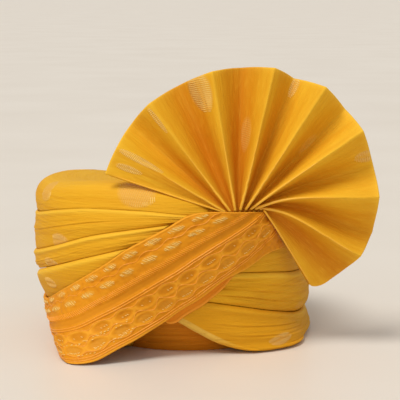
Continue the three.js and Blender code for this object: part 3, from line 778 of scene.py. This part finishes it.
def leafAt(along, down, middle, shift):
    a, d = phase(along, shift), down - middle
    c, s = cosSin(leaf["tilt"])
    far = ((a * c - d * s) / leaf["length"]) ** 2 + ((d * c + a * s) / leaf["width"]) ** 2
    return np.clip((1 - far) * 3, 0, 1)


def ovalAt(along, down, middle, shift):
    return np.hypot(phase(along, shift) / oval["length"], (down - middle) / oval["width"])


def bandRelief(along, down):
    line = bandLines
    leaves = leafAt(along, down, line["leafA"], 0.0) + leafAt(along, down, line["leafB"], 0.5)
    ovals = [ovalAt(along, down, line["ovalC"], 0.25), ovalAt(along, down, line["ovalD"], 0.75)]
    hollow, glint = (smooth((1 - far) * 3) for far in ovals)
    ring = sum(hump(far - oval["ringAt"], oval["ringWidth"]) for far in ovals)
    edge = relief["stripEdge"]
    strip = fadeIn(down, line["stripTop"], edge) * fadeOut(down, line["stripLow"], edge)
    pucker = ripple(along / 7, down / 4.2, band["seed"])
    pucker = pucker + 0.7 * ripple(along / 3.2, down / 2.4, band["seed"] + 1)
    gathers = 0.25 * np.sin(2 * np.pi * along / 5.2 + 2 * ripple(along / 20, down / 9, band["seed"] + 2))
    swell = hump(down - line["leafA"], 6) + hump(down - line["leafB"], 5) + hump(down - line["ovals"], 10)
    height = relief["swell"] * swell + leaf["rise"] * leaves - oval["depth"] * (hollow + glint)
    height = height - relief["strip"] * strip + oval["ring"] * ring
    height = height + band["pucker"] * (pucker + gathers) * (1 - strip)
    height = height + relief["ribs"] * hump(down - line["ribs"], 1.6)
    height = height + relief["pipes"] * hump(down - line["pipes"], 2.2)
    wave = line["waveA"] + waves["waveA"][0] * np.cos(2 * np.pi * along / band["period"])
    height = height - relief["furrow"] * hump(down - wave, 1.2)
    zari, dull = leaves + 0.45 * glint, hollow + 0.55 * glint + 0.75 * strip
    # the rim mark is a painted highlight on the rings round the ovals
    marks = {"zari": np.clip(zari, 0, 1), "hollow": np.clip(dull, 0, 1), "rim": 0.8 * np.clip(ring, 0, 1)}
    return height, marks


def bandFront(along, down, lift=0.0):
    s, v, good = bandAt(along, down)
    height, _ = bandRelief(along, down)
    return bandPoint(s, v, band["wall"] + height + lift), good


def edgeRound(distance, reach):
    return np.sqrt(1 - (1 - np.clip(distance / reach, 0, 1)) ** 2)


def bandGrid(across, front):
    share = np.linspace(0, 1, across)
    share = share - 0.3 * np.sin(2 * np.pi * share) / (2 * np.pi)
    arcs = np.linspace(0, bandArc[-1], band["along"] + 1)
    arc, v = np.meshgrid(arcs, share, indexing="ij")
    s = np.interp(arc, bandArc, bandSteps)
    fromTop, fromLow = (1 - v) * band["width"], v * band["width"]
    end = np.minimum(np.minimum(v, 1 - v) * band["width"], np.minimum(arc, bandArc[-1] - arc))
    rounding = edgeRound(end, band["edge"])
    along, down = clothAt(s, v)
    height, marks = bandRelief(along, down)
    height = height + band["edgeRoll"] * hump(fromTop - 1.2, 0.9)
    # painted highlight along the upper and lower edges
    marks["rim"] = marks["rim"] + hump(fromTop - 0.8, 1.0) + hump(fromLow - 0.8, 0.9)
    off = band["wall"] / 2 * (1 - rounding)
    if front:
        off = band["wall"] / 2 * (1 + rounding) + height * rounding
    return bandPoint(s, v, off), np.stack([along, down], -1), marks


def brocadeMaterial(name):
    tones = {"deep": colour(208, 128, 14), "body": colour(226, 150, 26), "rim": colour(241, 170, 48),
             "zari": colour(236, 196, 90), "hollow": colour(203, 128, 20)}
    material, shader, wire = newMaterial(name)
    along, across = clothPlace(wire)
    thread = 2 * np.pi / 0.9
    weave = (along * thread).sine() * (across * thread).sine()
    cloud = wire.noise(wire.vector(along * 0.12, across * 0.25), 1.0, 3.0)
    hatch = ((along * 0.58 + across * 0.81) * (2 * np.pi / 1.35)).sine() * 0.5 + 0.5
    base = wire.tint((cloud * 1.4 - 0.2).clamp(), tones["deep"], tones["body"])
    base = wire.tint(mark(wire, "hollow") * 0.75, base, tones["hollow"])
    # painted highlight on the oval rings and along the edges
    base = wire.tint(mark(wire, "rim") * 0.7, base, tones["rim"])
    zari = mark(wire, "zari") * (hatch * hatch * 0.3 + 0.12)
    base = wire.tint(zari, base, tones["zari"])
    connect(base, shader.inputs["Base Color"])
    connect(0.6 - zari * 0.2, shader.inputs["Roughness"])
    height = weave * 0.06 + cloud * 0.2 + hatch * mark(wire, "zari") * 0.2
    bump = wire.add("ShaderNodeBump", None, {"Strength": 0.6, "Distance": mm, "Height": height})
    connect(bump, shader.inputs["Normal"])
    softGloss(shader, colour(255, 180, 80))
    return material


front, frontPlace, marks = bandGrid(band["across"], True)
back, backPlace, _ = bandGrid(band["backAcross"], False)
mesh = clothMesh("brocade", front, back, (frontPlace, backPlace), marks)
brocade = newPiece("brocade", mesh, brocadeMaterial("brocade_cloth"))
print("brocade", len(mesh.polygons), "faces")


# plain layer turned under the band, showing along its lower edge
under = {"first": 2.3, "last": 6.2, "show": 7.0, "width": 16.0, "wall": 1.8, "lap": 0.5, "edge": 1.1,
         "along": 150, "across": 36, "backAcross": 6, "flat": (0.0155, 0.09), "seed": 97}


def underGrid(across, front):
    steps = np.linspace(under["first"], under["last"], under["along"] + 1)
    s, share = np.meshgrid(steps, np.linspace(0, 1, across), indexing="ij")
    span = np.linalg.norm(bandPoint(s, 0 * s, 0 * s) - bandPoint(s, 0 * s + 1, 0 * s), axis=-1)
    shown = under["show"] * smooth((s - under["first"] + 0.15) / 1.2) * edgeRound(under["last"] - s, 0.55)
    down = mix(-shown, under["width"] - under["show"], share)
    arc = np.interp(s, bandSteps, bandArc)
    ends = np.minimum(arc - arc.min(), arc.max() - arc)
    fromEdge = np.minimum(down + shown, under["width"] - under["show"] - down)
    rounding = edgeRound(np.minimum(fromEdge, ends), under["edge"])
    crease = 0.25 * ripple(arc / 26, down / 1.8, under["seed"]) + 0.5 * hump(down + shown - 1.5, 1.0)
    crease = crease - 0.35 * hump(down + shown - 3.6, 0.9)
    off = -under["lap"] - under["wall"] / 2 * (1 - rounding) + crease * rounding * smooth((-down - 0.5) / 1.5)
    if not front:
        off = -under["lap"] - under["wall"] / 2 * (1 + rounding)
    # the last value returned is a painted highlight along the shown edge
    return bandPoint(s, down / span, off), np.stack([arc, down], -1), hump(down + shown - 1.2, 1.1)


front, frontPlace, rim = underGrid(under["across"], True)
back, backPlace, _ = underGrid(under["backAcross"], False)
# the rim tone is the painted highlight
underTones = {"deep": colour(214, 118, 14), "body": colour(230, 142, 28), "rim": colour(244, 164, 54),
              "pale": colour(226, 188, 96)}
mesh = clothMesh("brocade_fold", front, back, (frontPlace, backPlace), {"rim": rim})
brocadeFold = newPiece("brocade_fold", mesh, clothMaterial("fold_cloth", underTones, [], wrapGrain))
print("brocade_fold", len(mesh.polygons), "faces")


# pleated fan: each row is one fold line, from the left edge over the top to the lower right
fanRows = table(
    "rimX rimZ back pleat root ahead neck curl",
    (-117, 32, 4, -1, -17, 0, 1, 0), (-107, 55, 11, -7, -15, 0, 1, 0), (-96, 72, 17, 8, -13, 0, 1, 0),
    (-80, 91, 21, -9, -11, 0, 1, 0), (-55, 105, 22, 10, -9, 0, 1, 0), (-27, 118, 22, -10, -7, 0, 1, 0),
    (-2, 120, 22, 10, -5, 0, 1, 0), (26, 121, 22, -10, -3, 0, 1, 0), (43, 111, 22, 10, -1, 0, 1, 0),
    (69, 105, 22, -10, 1, 0, 1, 0), (87, 85, 22, 10, 3, 0, 1, 1), (101, 68, 22, -10, 5, 0, 1, 2),
    (112, 37, 24, 10, 7, 0, 1, 4), (116, 11, 26, -10, 9, 0, 1, 7), (113, -23, 30, 9, 11, 0, 1, 9),
    (102, -42, 34, -8, 13, 0, 0.03, 8), (87, -60, 42, 6, 15, 4.3, 0.03, 5), (62, -77, 48, -2, 17, 8, 0.03, 2))
fan = {"root": (37, -132.5, 125.5), "slant": 0.5, "bend": 0.0062, "neck": 10, "neckShare": 0.07, "wall": 2.4,
       "perFold": 18, "along": 104, "crowding": 0.72, "rootPleat": 0.13, "kneePleat": 0.12, "kneeAt": 0.08,
       "openAt": 0.55, "softRoot": 0.85, "softRim": 0.5, "pleatDepth": 1.0, "ridgeRoll": 0.8,
       "ridgeWidth": 1.3, "edge": 1.2, "crinkle": 0.5, "bow": 0.7, "curl": 6.75, "tipRound": 0.095,
       "tipWidth": 0.5, "scallop": 0.005, "shadeFrom": (1.5, 2), "shadeTo": (8.8, 2.5),
       "shadeAgain": (12.5, 2.5), "rootWidth": 2, "widening": 25, "perRow": 14.0, "reach": 120.0,
       "flat": (0.13, 0.50), "area": 0.043}


def foldWidth(out):
    # millimetres across one fold, at a share of the way out
    return out * fan["widening"] + fan["rootWidth"]


def foldLines(rows):
    mesh = bpy.data.meshes.new("fold_lines")
    count = len(rows["root"])
    mesh.from_pydata([(0, 0, 0)] * count, [], [])
    for name, values in rows.items():
        keepOnPoints(mesh, name, values)
    return mesh


def fanTree(last):
    wire, size = geometryTree(
        "pleated_fan", Cloth="NodeSocketMaterial",
        **{name: "NodeSocketFloat" for name in ("Wall", "Pleat depth", "Ridge roll", "Crinkle", "Bow")})
    grid = wire.add("GeometryNodeMeshGrid", None, {
        "Size X": 1.0, "Size Y": 1.0, "Vertices X": last * fan["perFold"] + 1, "Vertices Y": fan["along"]})
    place = wire.add("ShaderNodeSeparateXYZ", None, {0: wire.add("GeometryNodeInputPosition")})
    across = (place + 0.5) * last
    ease = Wire(wire.tree, place.socket.node.outputs[1]) + 0.5
    out = ease - (ease * (2 * np.pi)).sine() * (fan["crowding"] / (2 * np.pi))
    t = out * (1 + fan["neckShare"]) - fan["neckShare"]
    out = t.clamp()
    neck = wire.math("MINIMUM", t, 0.0) / fan["neckShare"]
    first = wire.math("MINIMUM", across, last - 0.0001).floor()
    share = across - first

    def column(name, index):
        sample = {"Geometry": size["Geometry"], "Value": wire.named(name), "Index": index}
        return wire.add("GeometryNodeSampleIndex", {"clamp": True}, sample)

    def folded(name, f):
        a = column(name, first)
        return a + (column(name, first + 1) - a) * f
    gather = (out / fan["openAt"]).smooth()
    soft = fan["softRoot"] - gather * fan["softRim"]
    bent = share - (share * (2 * np.pi)).sine() * soft * (1 / (2 * np.pi))
    root, rimX, rimZ, behind = (folded(name, share) for name in ("root", "rimX", "rimZ", "back"))
    side = root - float(fanRows["root"][0])
    rootBack = side * fan["slant"] + side * side * fan["bend"] - folded("ahead", share)
    tip = ((across - (last - fan["tipWidth"])) / fan["tipWidth"]).clamp()
    drop = (1 - wire.math("SQRT", 1 - tip * tip)) * fan["tipRound"]
    reach = out * ((share * np.pi).sine() * fan["scallop"] + 1) - drop * out * out
    x = root + (rimX - root) * reach
    lift = folded("curl", share) * fan["curl"] * out * (1 - out) * (1 - out)
    z = reach * rimZ + lift + neck * fan["neck"] * folded("neck", share)
    opened = gather * (1 - fan["rootPleat"] - fan["kneePleat"])
    opened = opened + (out / fan["kneeAt"]).smooth() * fan["kneePleat"] + fan["rootPleat"]
    pleat = folded("pleat", bent) * opened * size["Pleat depth"]
    ridgeHere = wire.math("LESS_THAN", column("pleat", first), 0.0)
    toRidge = ridgeHere * share + (1 - ridgeHere) * (1 - share)
    ridgeGap = toRidge * foldWidth(out) / fan["ridgeWidth"]
    roll = wire.math("EXPONENT", 0 - ridgeGap * ridgeGap) * size["Ridge roll"] * (1 - out * 0.55)
    bow = (share * np.pi).sine() * size["Bow"] * gather
    crease = wire.noise(wire.vector(across * 2.2, out * 1.3), 1.0, 3.0) - 0.5
    y = rootBack + (behind - rootBack) * out + pleat - roll + bow + crease * size["Crinkle"] * gather
    perEdge = fan["reach"] / fan["edge"]
    ends = wire.math("MINIMUM", (1 - t) * perEdge, (t + fan["neckShare"]) * perEdge)
    sides = wire.math("MINIMUM", across, last - across) * foldWidth(out) / fan["edge"]
    inset = 1 - wire.math("MINIMUM", ends, sides).clamp()
    depth = wire.math("SQRT", 1 - inset * inset) * size["Wall"] * 0.5
    rootX, rootY, rootZ = (float(v) for v in fan["root"])
    frameX, frameY = (float(v) for v in toFrame[:2])

    def laid(off):
        return wire.vector((x + rootX) * mm + frameX, (y + off + rootY) * mm + frameY, (z + rootZ) * mm)
    fall = lambda value: wire.math("EXPONENT", 0 - value)
    # painted highlight along each ridge and along the outer edge
    rim = fall(ridgeGap * ridgeGap * 0.5) * (0.7 - out * 0.4) + fall((1 - t) * (fan["reach"] / 2.0))
    # painted shade: darker in the fold valleys, towards the knot, and over chosen rows of folds
    (fromRow, fromFade), (toRow, toFade), (againRow, againFade) = (
        fan[name] for name in ("shadeFrom", "shadeTo", "shadeAgain"))
    shaded = ((toRow - across) / toFade).smooth() * ((across - fromRow) / fromFade).smooth()
    shaded = shaded + ((across - againRow) / againFade).smooth()
    valley = toRidge.smooth() * (0.85 + shaded * 0.3 - out * (0.8 - shaded * 0.25))
    valley = (valley + (1 - out) * (1 - out) * 0.28 + shaded * 0.14).clamp()
    uv = wire.vector(across * (fan["perRow"] * mm), t * (fan["reach"] * mm))
    grid = grid.stored("cloth", uv, "FLOAT2", "CORNER").stored("rim", rim).stored("valley", valley)
    frontSide = wire.add("GeometryNodeSetPosition", None, {"Geometry": grid, "Position": laid(0 - depth)})
    backSide = wire.add("GeometryNodeSetPosition", None, {"Geometry": grid, "Position": laid(depth)})
    backSide = wire.add("GeometryNodeFlipFaces", None, {"Mesh": backSide})
    both = wire.tree.nodes.new("GeometryNodeJoinGeometry")
    for part in (backSide, frontSide):
        connect(part, both.inputs[0])
    joined = {"Geometry": Wire(wire.tree, both.outputs[0]), "Distance": 4e-6}
    return endTree(wire, wire.add("GeometryNodeMergeByDistance", None, joined), size["Cloth"])


# motifs on the fan: fold, share of the way out, half length, half width, tilt, strength
fanMotifs = [(4.55, 0.89, 19, 9, 3, 1), (6.33, 0.53, 16, 4.2, 0, 0.55), (8.1, 0.94, 10, 4.0, 0, 0.9),
             (9.9, 0.63, 12, 3.5, 0, 0.35), (11.7, 0.96, 11, 5, -10, 0.8), (2.87, 0.87, 15, 2.6, 0, 1),
             (1.05, 0.78, 25, 3.6, 4, 1), (0.5, 0.84, 14, 3.4, 4, 1)]
motifs = [{"at": (a * fan["perRow"], t * fan["reach"]), "length": length, "width": width, "tilt": 90 + tilt,
           "stretch": foldWidth(t) / fan["perRow"], "strength": strength}
          for a, t, length, width, tilt, strength in fanMotifs]
fanGrain = {"streakAlong": 0.35, "streakAcross": 0.02, "fineAlong": 1.2, "fineAcross": 0.08, "thread": 0.8,
            "hatchAlong": 0.3, "hatchAcross": 0.95}
# rim is the painted highlight tone, and the last tone is painted shade
fanTones = {"deep": colour(216, 148, 18), "body": colour(236, 186, 44), "rim": colour(249, 200, 64),
            "butti": colour(232, 188, 108), "pale": colour(226, 188, 96), "valley": colour(196, 106, 6)}
fanSizes = {"Wall": fan["wall"], "Pleat depth": fan["pleatDepth"], "Ridge roll": fan["ridgeRoll"],
            "Crinkle": fan["crinkle"], "Bow": fan["bow"],
            "Cloth": clothMaterial("fan_cloth", fanTones, motifs, fanGrain)}
pleatedFan = grown("pleated_fan", foldLines(fanRows), fanTree(len(fanRows["root"]) - 1), **fanSizes)
surfaces["pleated_fan"] = surfaceOf(pleatedFan)
print("pleated_fan", len(pleatedFan.data.polygons), "faces")


# raised cords of the brocade: threads laid along paths
def cordTree():
    wire, size = geometryTree("laid_cords", Sides="NodeSocketInt", Thread="NodeSocketMaterial")
    line = wire.add("GeometryNodeMeshToCurve", None, {"Mesh": size["Geometry"]})
    section = wire.add("GeometryNodeCurvePrimitiveCircle", None, {"Resolution": size["Sides"], "Radius": 1.0})
    tube = wire.add("GeometryNodeCurveToMesh", None, {
        "Curve": line, "Profile Curve": section, "Scale": wire.named("thick"), "Fill Caps": True})
    return endTree(wire, tube, size["Thread"])


def pathMesh(name, paths):
    # paths are (points, radius); the radius may change along the path
    points, edges, thick = [], [], []
    for path, radius in paths:
        first, count = len(points), len(path)
        points += placed(path).tolist()
        thick += (np.zeros(count) + radius * mm).tolist()
        edges += [(first + i, first + i + 1) for i in range(count - 1)]
    mesh = bpy.data.meshes.new(name)
    mesh.from_pydata(points, edges, [])
    keepOnPoints(mesh, "thick", thick)
    return mesh


cord = {"step": 1.0, "sides": 6, "pipe": 0.55, "wave": 0.36, "line": 0.45, "rib": 0.34, "ribStep": 1.9,
        "ribHalf": 2.1, "ribPoints": 6, "ribSlant": 0.55, "uneven": 0.3, "stray": 0.04, "lift": 0.05,
        "fewest": 4}


def laidPaths(along, down, radius):
    # the stretches of a path that lie on the band
    points, good = bandFront(along, down, cord["lift"])
    cuts = np.flatnonzero(np.diff(good.astype(int))) + 1
    runs = np.split(np.arange(len(along)), cuts)
    return [(points[run], radius) for run in runs if good[run[0]] and len(run) > cord["fewest"]]


bandEnds = [clothAt(np.array(s), np.array(v))[0] for s in (0.0, float(band["rows"])) for v in (0.0, 1.0)]
bandFirst, bandLast = min(bandEnds), max(bandEnds)
arcs = np.arange(bandFirst, bandLast, cord["step"])
paths = []
for name, radius in (("pipeA", "pipe"), ("pipeB", "pipe"), ("lineA", "line"), ("lineB", "line")):
    paths += laidPaths(arcs, 0 * arcs + bandLines[name], cord[radius])
for name, (swing, shift) in waves.items():
    jitter = ripple(arcs / 9, 0 * arcs + swing, band["seed"] + 5)
    place = arcs / band["period"] + shift + cord["stray"] * jitter
    sway = swing * (1 + cord["uneven"] * jitter) * np.cos(2 * np.pi * place)
    sway = sway + cord["uneven"] * ripple(arcs / 2.6, 0 * arcs + swing, band["seed"] + 6)
    paths += laidPaths(arcs, bandLines[name] + sway, cord["wave"])
ribDown = np.linspace(-cord["ribHalf"], cord["ribHalf"], cord["ribPoints"])
for arc in np.arange(bandFirst, bandLast, cord["ribStep"]):
    paths += laidPaths(arc - cord["ribSlant"] * ribDown, bandLines["ribs"] + ribDown, cord["rib"])
cordThread = zariMaterial("orange_cord", colour(229, 142, 20), colour(243, 168, 44), 0.0)
bandCords = grown("brocade_cords", pathMesh("cord_paths", paths), cordTree(), Sides=cord["sides"],
                  Thread=cordThread)
print("brocade_cords", len(bandCords.data.polygons), "faces")


# folded edges of the pleats, rolled where they run into the knot
def onFan(a, t):
    rows = np.arange(len(fanRows["root"]))
    at = lambda column: np.interp(a, rows, fanRows[column])
    x = mix(at("root"), at("rimX"), t) + fan["root"][0]
    z = t * at("rimZ") + at("curl") * fan["curl"] * t * (1 - t) ** 2 + fan["root"][2]
    hit, facing, _, _ = surfaces["pleated_fan"].ray_cast(Vector(placed((x, -400, z))), Vector((0, 1, 0)))
    return hit, facing


# each edge: fold, share of the way out, radius at the knot and at the end
pleatRolls = {"from": 0.012, "sink": 0.3, "count": 44, "fade": 0.12, "sides": 10, "rows": (
    (0.06, 0.96, 0.9, 0.5), (1, 0.6, 1.25, 0.3), (3, 0.6, 1.25, 0.3), (5, 0.6, 1.25, 0.3),
    (7, 0.6, 1.25, 0.3), (9, 0.6, 1.25, 0.3), (11, 0.65, 1.25, 0.3), (13, 0.7, 1.3, 0.35),
    (15, 0.95, 1.35, 0.6), (16.94, 0.94, 0.95, 0.6))}
paths = []
for row, until, thick, thin in pleatRolls["rows"]:
    steps = np.linspace(pleatRolls["from"], until, pleatRolls["count"])
    radii = mix(thick, thin, smooth(steps / until)) * smooth((until - steps) / pleatRolls["fade"] + 0.05)
    spots, kept = [], []
    for t, radius in zip(steps, radii):
        hit, facing = onFan(row, t)
        if hit:
            spots.append((np.array(hit) - toFrame) / mm - np.array(facing) * radius * pleatRolls["sink"])
            kept.append(radius)
    paths.append((np.array(spots), np.array(kept)))
foldThread = zariMaterial("pleat_edge", colour(232, 166, 28), colour(244, 188, 50), 0.0)
pleatFolds = grown("pleat_folds", pathMesh("fold_paths", paths), cordTree(), Sides=pleatRolls["sides"],
                   Thread=foldThread)
print("pleat_folds", len(pleatFolds.data.polygons), "faces")


# metallic thread: short stitches on the band's leaves and on the scattered motifs
thread = {"width": 0.33, "height": 0.22, "lift": 0.14, "bandLift": 0.22, "gap": 1.7, "faintest": 0.6}
# thread in the rows of ovals: shift, how low in the oval, share left out
ovalThread = {"ovalC": (0.25, 0.2, 0.55), "ovalD": (0.75, 0.7, 0.1)}
glitter = {"rows": ("waveC", "waveD"), "from": (7.2, 0.15), "step": 1.6, "half": 1.1, "missed": 0.45}


def stitchTree():
    wire, size = geometryTree(
        "zari_stitches", Width="NodeSocketFloat", Height="NodeSocketFloat", Thread="NodeSocketMaterial")
    lies, faces = (wire.named(name, "FLOAT_VECTOR") for name in ("lies", "faces"))
    stitch = wire.add("GeometryNodeMeshUVSphere", None, {"Segments": 6, "Rings": 4, "Radius": 1.0})
    turned = wire.add("FunctionNodeAlignRotationToVector", {"axis": "X"}, {"Vector": lies})
    turned = wire.add("FunctionNodeAlignRotationToVector", {"axis": "Z", "pivot_axis": "X"},
                      {"Rotation": turned, "Vector": faces})
    scale = wire.vector(wire.named("reach"), size["Width"], size["Height"])
    laid = wire.add("GeometryNodeInstanceOnPoints", None, {
        "Points": size["Geometry"], "Instance": stitch, "Rotation": turned, "Scale": scale})
    return endTree(wire, laid, size["Thread"])


def bandStitches():
    # uneven stitches across each leaf, in the ovals, and along the lower wavy lines towards the left end
    spots = []
    draw = np.random.default_rng(band["seed"] + 7)
    c, s = cosSin(leaf["tilt"])
    middles = np.arange(np.ceil(bandFirst / band["period"]), bandLast / band["period"], 1)
    for name, shift in (("leafA", 0.0), ("leafB", 0.5)):
        for middle in (middles + 0.5 - shift) * band["period"]:
            for k in np.linspace(-0.85, 0.85, leaf["strokes"]):
                upper, lower = draw.uniform(0.45, 1.05, 2) * leaf["width"] * np.sqrt(1 - k * k)
                lean = leaf["lean"] * np.sqrt(1 - k * k)
                place = k * leaf["length"] + draw.uniform(-1, 1) * leaf["stray"]
                pair = [(place - lean, lower), (place + lean, -upper)]
                if draw.uniform() > leaf["missed"]:
                    spots.append([(middle + a * c + d * s, bandLines[name] - a * s + d * c) for a, d in pair])
    for name, (shift, low, missed) in ovalThread.items():
        for middle in (middles + 0.5 - shift) * band["period"]:
            for k in np.linspace(-0.6, 0.6, 6) + draw.uniform(-0.06, 0.06, 6):
                rim = oval["width"] * np.sqrt(1 - k * k)
                start, end = low + draw.uniform(0.1, 0.3), low - draw.uniform(0.1, 0.3)
                pair = [(middle + k * oval["length"] - 0.7, bandLines[name] + rim * start),
                        (middle + k * oval["length"] + 0.7, bandLines[name] + rim * end)]
                if draw.uniform() > missed:
                    spots.append(pair)
    start = clothAt(*(np.array(at) for at in glitter["from"]))[0]
    for name in glitter["rows"]:
        for arc in np.arange(start, bandLast, glitter["step"]):
            along, down = arc + draw.uniform(-0.8, 0.8), bandLines[name] + draw.uniform(-1.8, 1.2)
            half = glitter["half"]
            pair = [(along - half, down), (along + half, down + draw.uniform(-0.5, 0.5))]
            if draw.uniform() > glitter["missed"]:
                spots.append(pair)
    spots = np.array(spots)
    (a, goodA), (b, goodB) = (bandFront(spots[:, k, 0], spots[:, k, 1]) for k in (0, 1))
    middle = spots.mean(1)
    lift = bandFront(middle[:, 0], middle[:, 1], thread["bandLift"])[0] - (a + b) / 2
    a, b = a + lift, b + lift
    (left, _), (right, _) = (bandFront(middle[:, 0] + step, middle[:, 1]) for step in (-0.6, 0.6))
    (upper, _), (lower, _) = (bandFront(middle[:, 0], middle[:, 1] + step) for step in (-0.6, 0.6))
    facing = np.cross(upper - lower, left - right)
    return [([a[i], b[i]], facing[i]) for i in np.flatnonzero(goodA & goodB)]


def onTurn(name):
    # the place on a turn of cloth that a straight line in towards the crown meets
    def at(turn, q):
        far, near = (Vector(placed(offCrown(np.float64(turn), np.float64(q), off))) for off in (60.0, 0.0))
        hit, facing, _, _ = surfaces[name].ray_cast(far, (near - far).normalized())
        return hit, facing
    return at


def motifStitches(onCloth, middle, scale, length, width, tilt):
    # slanted stitches on both sides of a motif's middle line
    c, s = cosSin(tilt)
    found = []
    for k in np.arange(-0.9, 0.91, thread["gap"] / length):
        half = width * np.sqrt(1 - k * k)
        for side in (-1, 1):
            pair = []
            inner, outer = (0, side * 0.08 * half), (side * 0.3 * half, side * 0.94 * half)
            for a, d in ((k * length + inner[0], inner[1]), (k * length + outer[0], outer[1])):
                spot = middle[0] + (a * c - d * s) * scale[0], middle[1] + (a * s + d * c) * scale[1]
                pair.append(onCloth(*spot))
            if all(spot for spot, _ in pair):
                ways = np.array(pair[0][1] + pair[1][1])
                lift = ways / np.linalg.norm(ways) * thread["lift"]
                found.append(([(np.array(spot) - toFrame) / mm + lift for spot, _ in pair], ways))
    return found


stitches = bandStitches()
for name, rows in wrapMotifs.items():
    for turn, q, length, width, tilt, strength in rows:
        if strength >= thread["faintest"]:
            stitches += motifStitches(onTurn(name), (turn, q), (1 / lay["perDegree"], 1), length, width, tilt)
for a, t, length, width, tilt, strength in fanMotifs:
    if strength >= thread["faintest"]:
        scale = 1 / foldWidth(t), 1 / fan["reach"]
        stitches += motifStitches(onFan, (a, t), scale, length, width, 90 + tilt)

stitchMesh = bpy.data.meshes.new("stitch_points")
stitchMesh.from_pydata(placed(np.array([(pair[0] + pair[1]) / 2 for pair, _ in stitches])).tolist(), [], [])
lies = np.array([pair[1] - pair[0] for pair, _ in stitches])
keepOnPoints(stitchMesh, "lies", lies)
keepOnPoints(stitchMesh, "faces", [way / np.linalg.norm(way) for _, way in stitches])
keepOnPoints(stitchMesh, "reach", np.linalg.norm(lies, axis=1) / 2 * mm)
zariThread = zariMaterial("zari_thread", colour(230, 180, 80), colour(250, 224, 140), 0.15)
zariStitches = grown("zari_stitches", stitchMesh, stitchTree(), Width=thread["width"] * mm,
                     Height=thread["height"] * mm, Thread=zariThread)
print("zari_stitches", len(stitches), "stitches")


# what rides, what stands for what, and the flat sizes of the cloth
pieces = [(row["piece"], row["node"], "gold_cloth", row["flat"], ["inner_shell"]) for row in wraps.values()]
pieces += [(innerShell, "inner_wrap", "inner_cloth", shell["flat"], []),
           (brocade, "brocade_band", "brocade", band["flat"], ["upper_turn", "lower_turn"]),
           (brocadeFold, "band_fold", "inner_cloth", under["flat"], ["brocade"]),
           (pleatedFan, "fan", "fan_cloth", fan["flat"], ["top_turn", "brocade"])]
for piece, node, slot, flat, restsOn in pieces:
    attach(piece, "root")
    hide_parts(node)
    surface = sum(face.area for face in piece.data.polygons) / 2
    print("%s: half surface %.4f m2, flat %.4f m2" % (piece.name, surface, flat[0] * flat[1]))
for piece, slot in ((bandCords, "brocade"), (pleatFolds, "fan_cloth"), (zariStitches, "brocade")):
    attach(piece, "root")


# stage, light and camera
def paleFloor(reach):
    mesh = bpy.data.meshes.new("floor")
    corners = [(-reach, -reach, 0), (reach, -reach, 0), (reach, reach, 0), (-reach, reach, 0)]
    mesh.from_pydata(corners, [], [(0, 1, 2, 3)])
    material, shader, wire = newMaterial("pale_floor")
    cloud = wire.noise(wire.add("ShaderNodeTexCoord", None, None, 3), 3.0, 3.0)
    connect(wire.tint(cloud, colour(224, 216, 206), colour(236, 230, 222)), shader.inputs["Base Color"])
    shader.inputs["Roughness"].default_value = 0.4
    newPiece("floor", mesh, material)


def sunLight(name, towards, spread, power, tone):
    lamp = bpy.data.lights.new(name, "SUN")
    lamp.angle, lamp.energy, lamp.color = np.radians(spread), power, tone
    holder = bpy.data.objects.new(name, lamp)
    bpy.context.scene.collection.objects.link(holder)
    holder.rotation_euler = (-Vector(towards)).to_track_quat("-Z", "Y").to_euler()


paleFloor(60.0)
sunLight("key", (-0.33, -0.42, 0.85), 25, 2.1, (1.0, 0.97, 0.91))
sunLight("fill", (-0.02, -0.95, 0.28), 60, 0.45, (1.0, 0.96, 0.9))
world = bpy.data.worlds.new("studio")
world.use_nodes = True
around = world.node_tree.nodes["Background"].inputs
around["Color"].default_value = (1.0, 0.96, 0.9, 1)
around["Strength"].default_value = 0.47
bpy.context.scene.world = world
bpy.context.scene.view_settings.view_transform = "Standard"

view = {"elevation": 8.0, "distance": 1.4, "aim": 0.1175, "lens": 135.45, "sensor": 36.0}
camera = bpy.data.objects.new("camera", bpy.data.cameras.new("camera"))
bpy.context.scene.collection.objects.link(camera)
tilt = np.radians(view["elevation"])
aim = Vector((toFrame[0], toFrame[1], view["aim"]))
ahead = Vector((0, np.cos(tilt), -np.sin(tilt)))
camera.location = aim - ahead * view["distance"]
camera.rotation_euler = ahead.to_track_quat("-Z", "Y").to_euler()
camera.data.lens, camera.data.sensor_width = view["lens"], view["sensor"]
bpy.context.scene.camera = camera
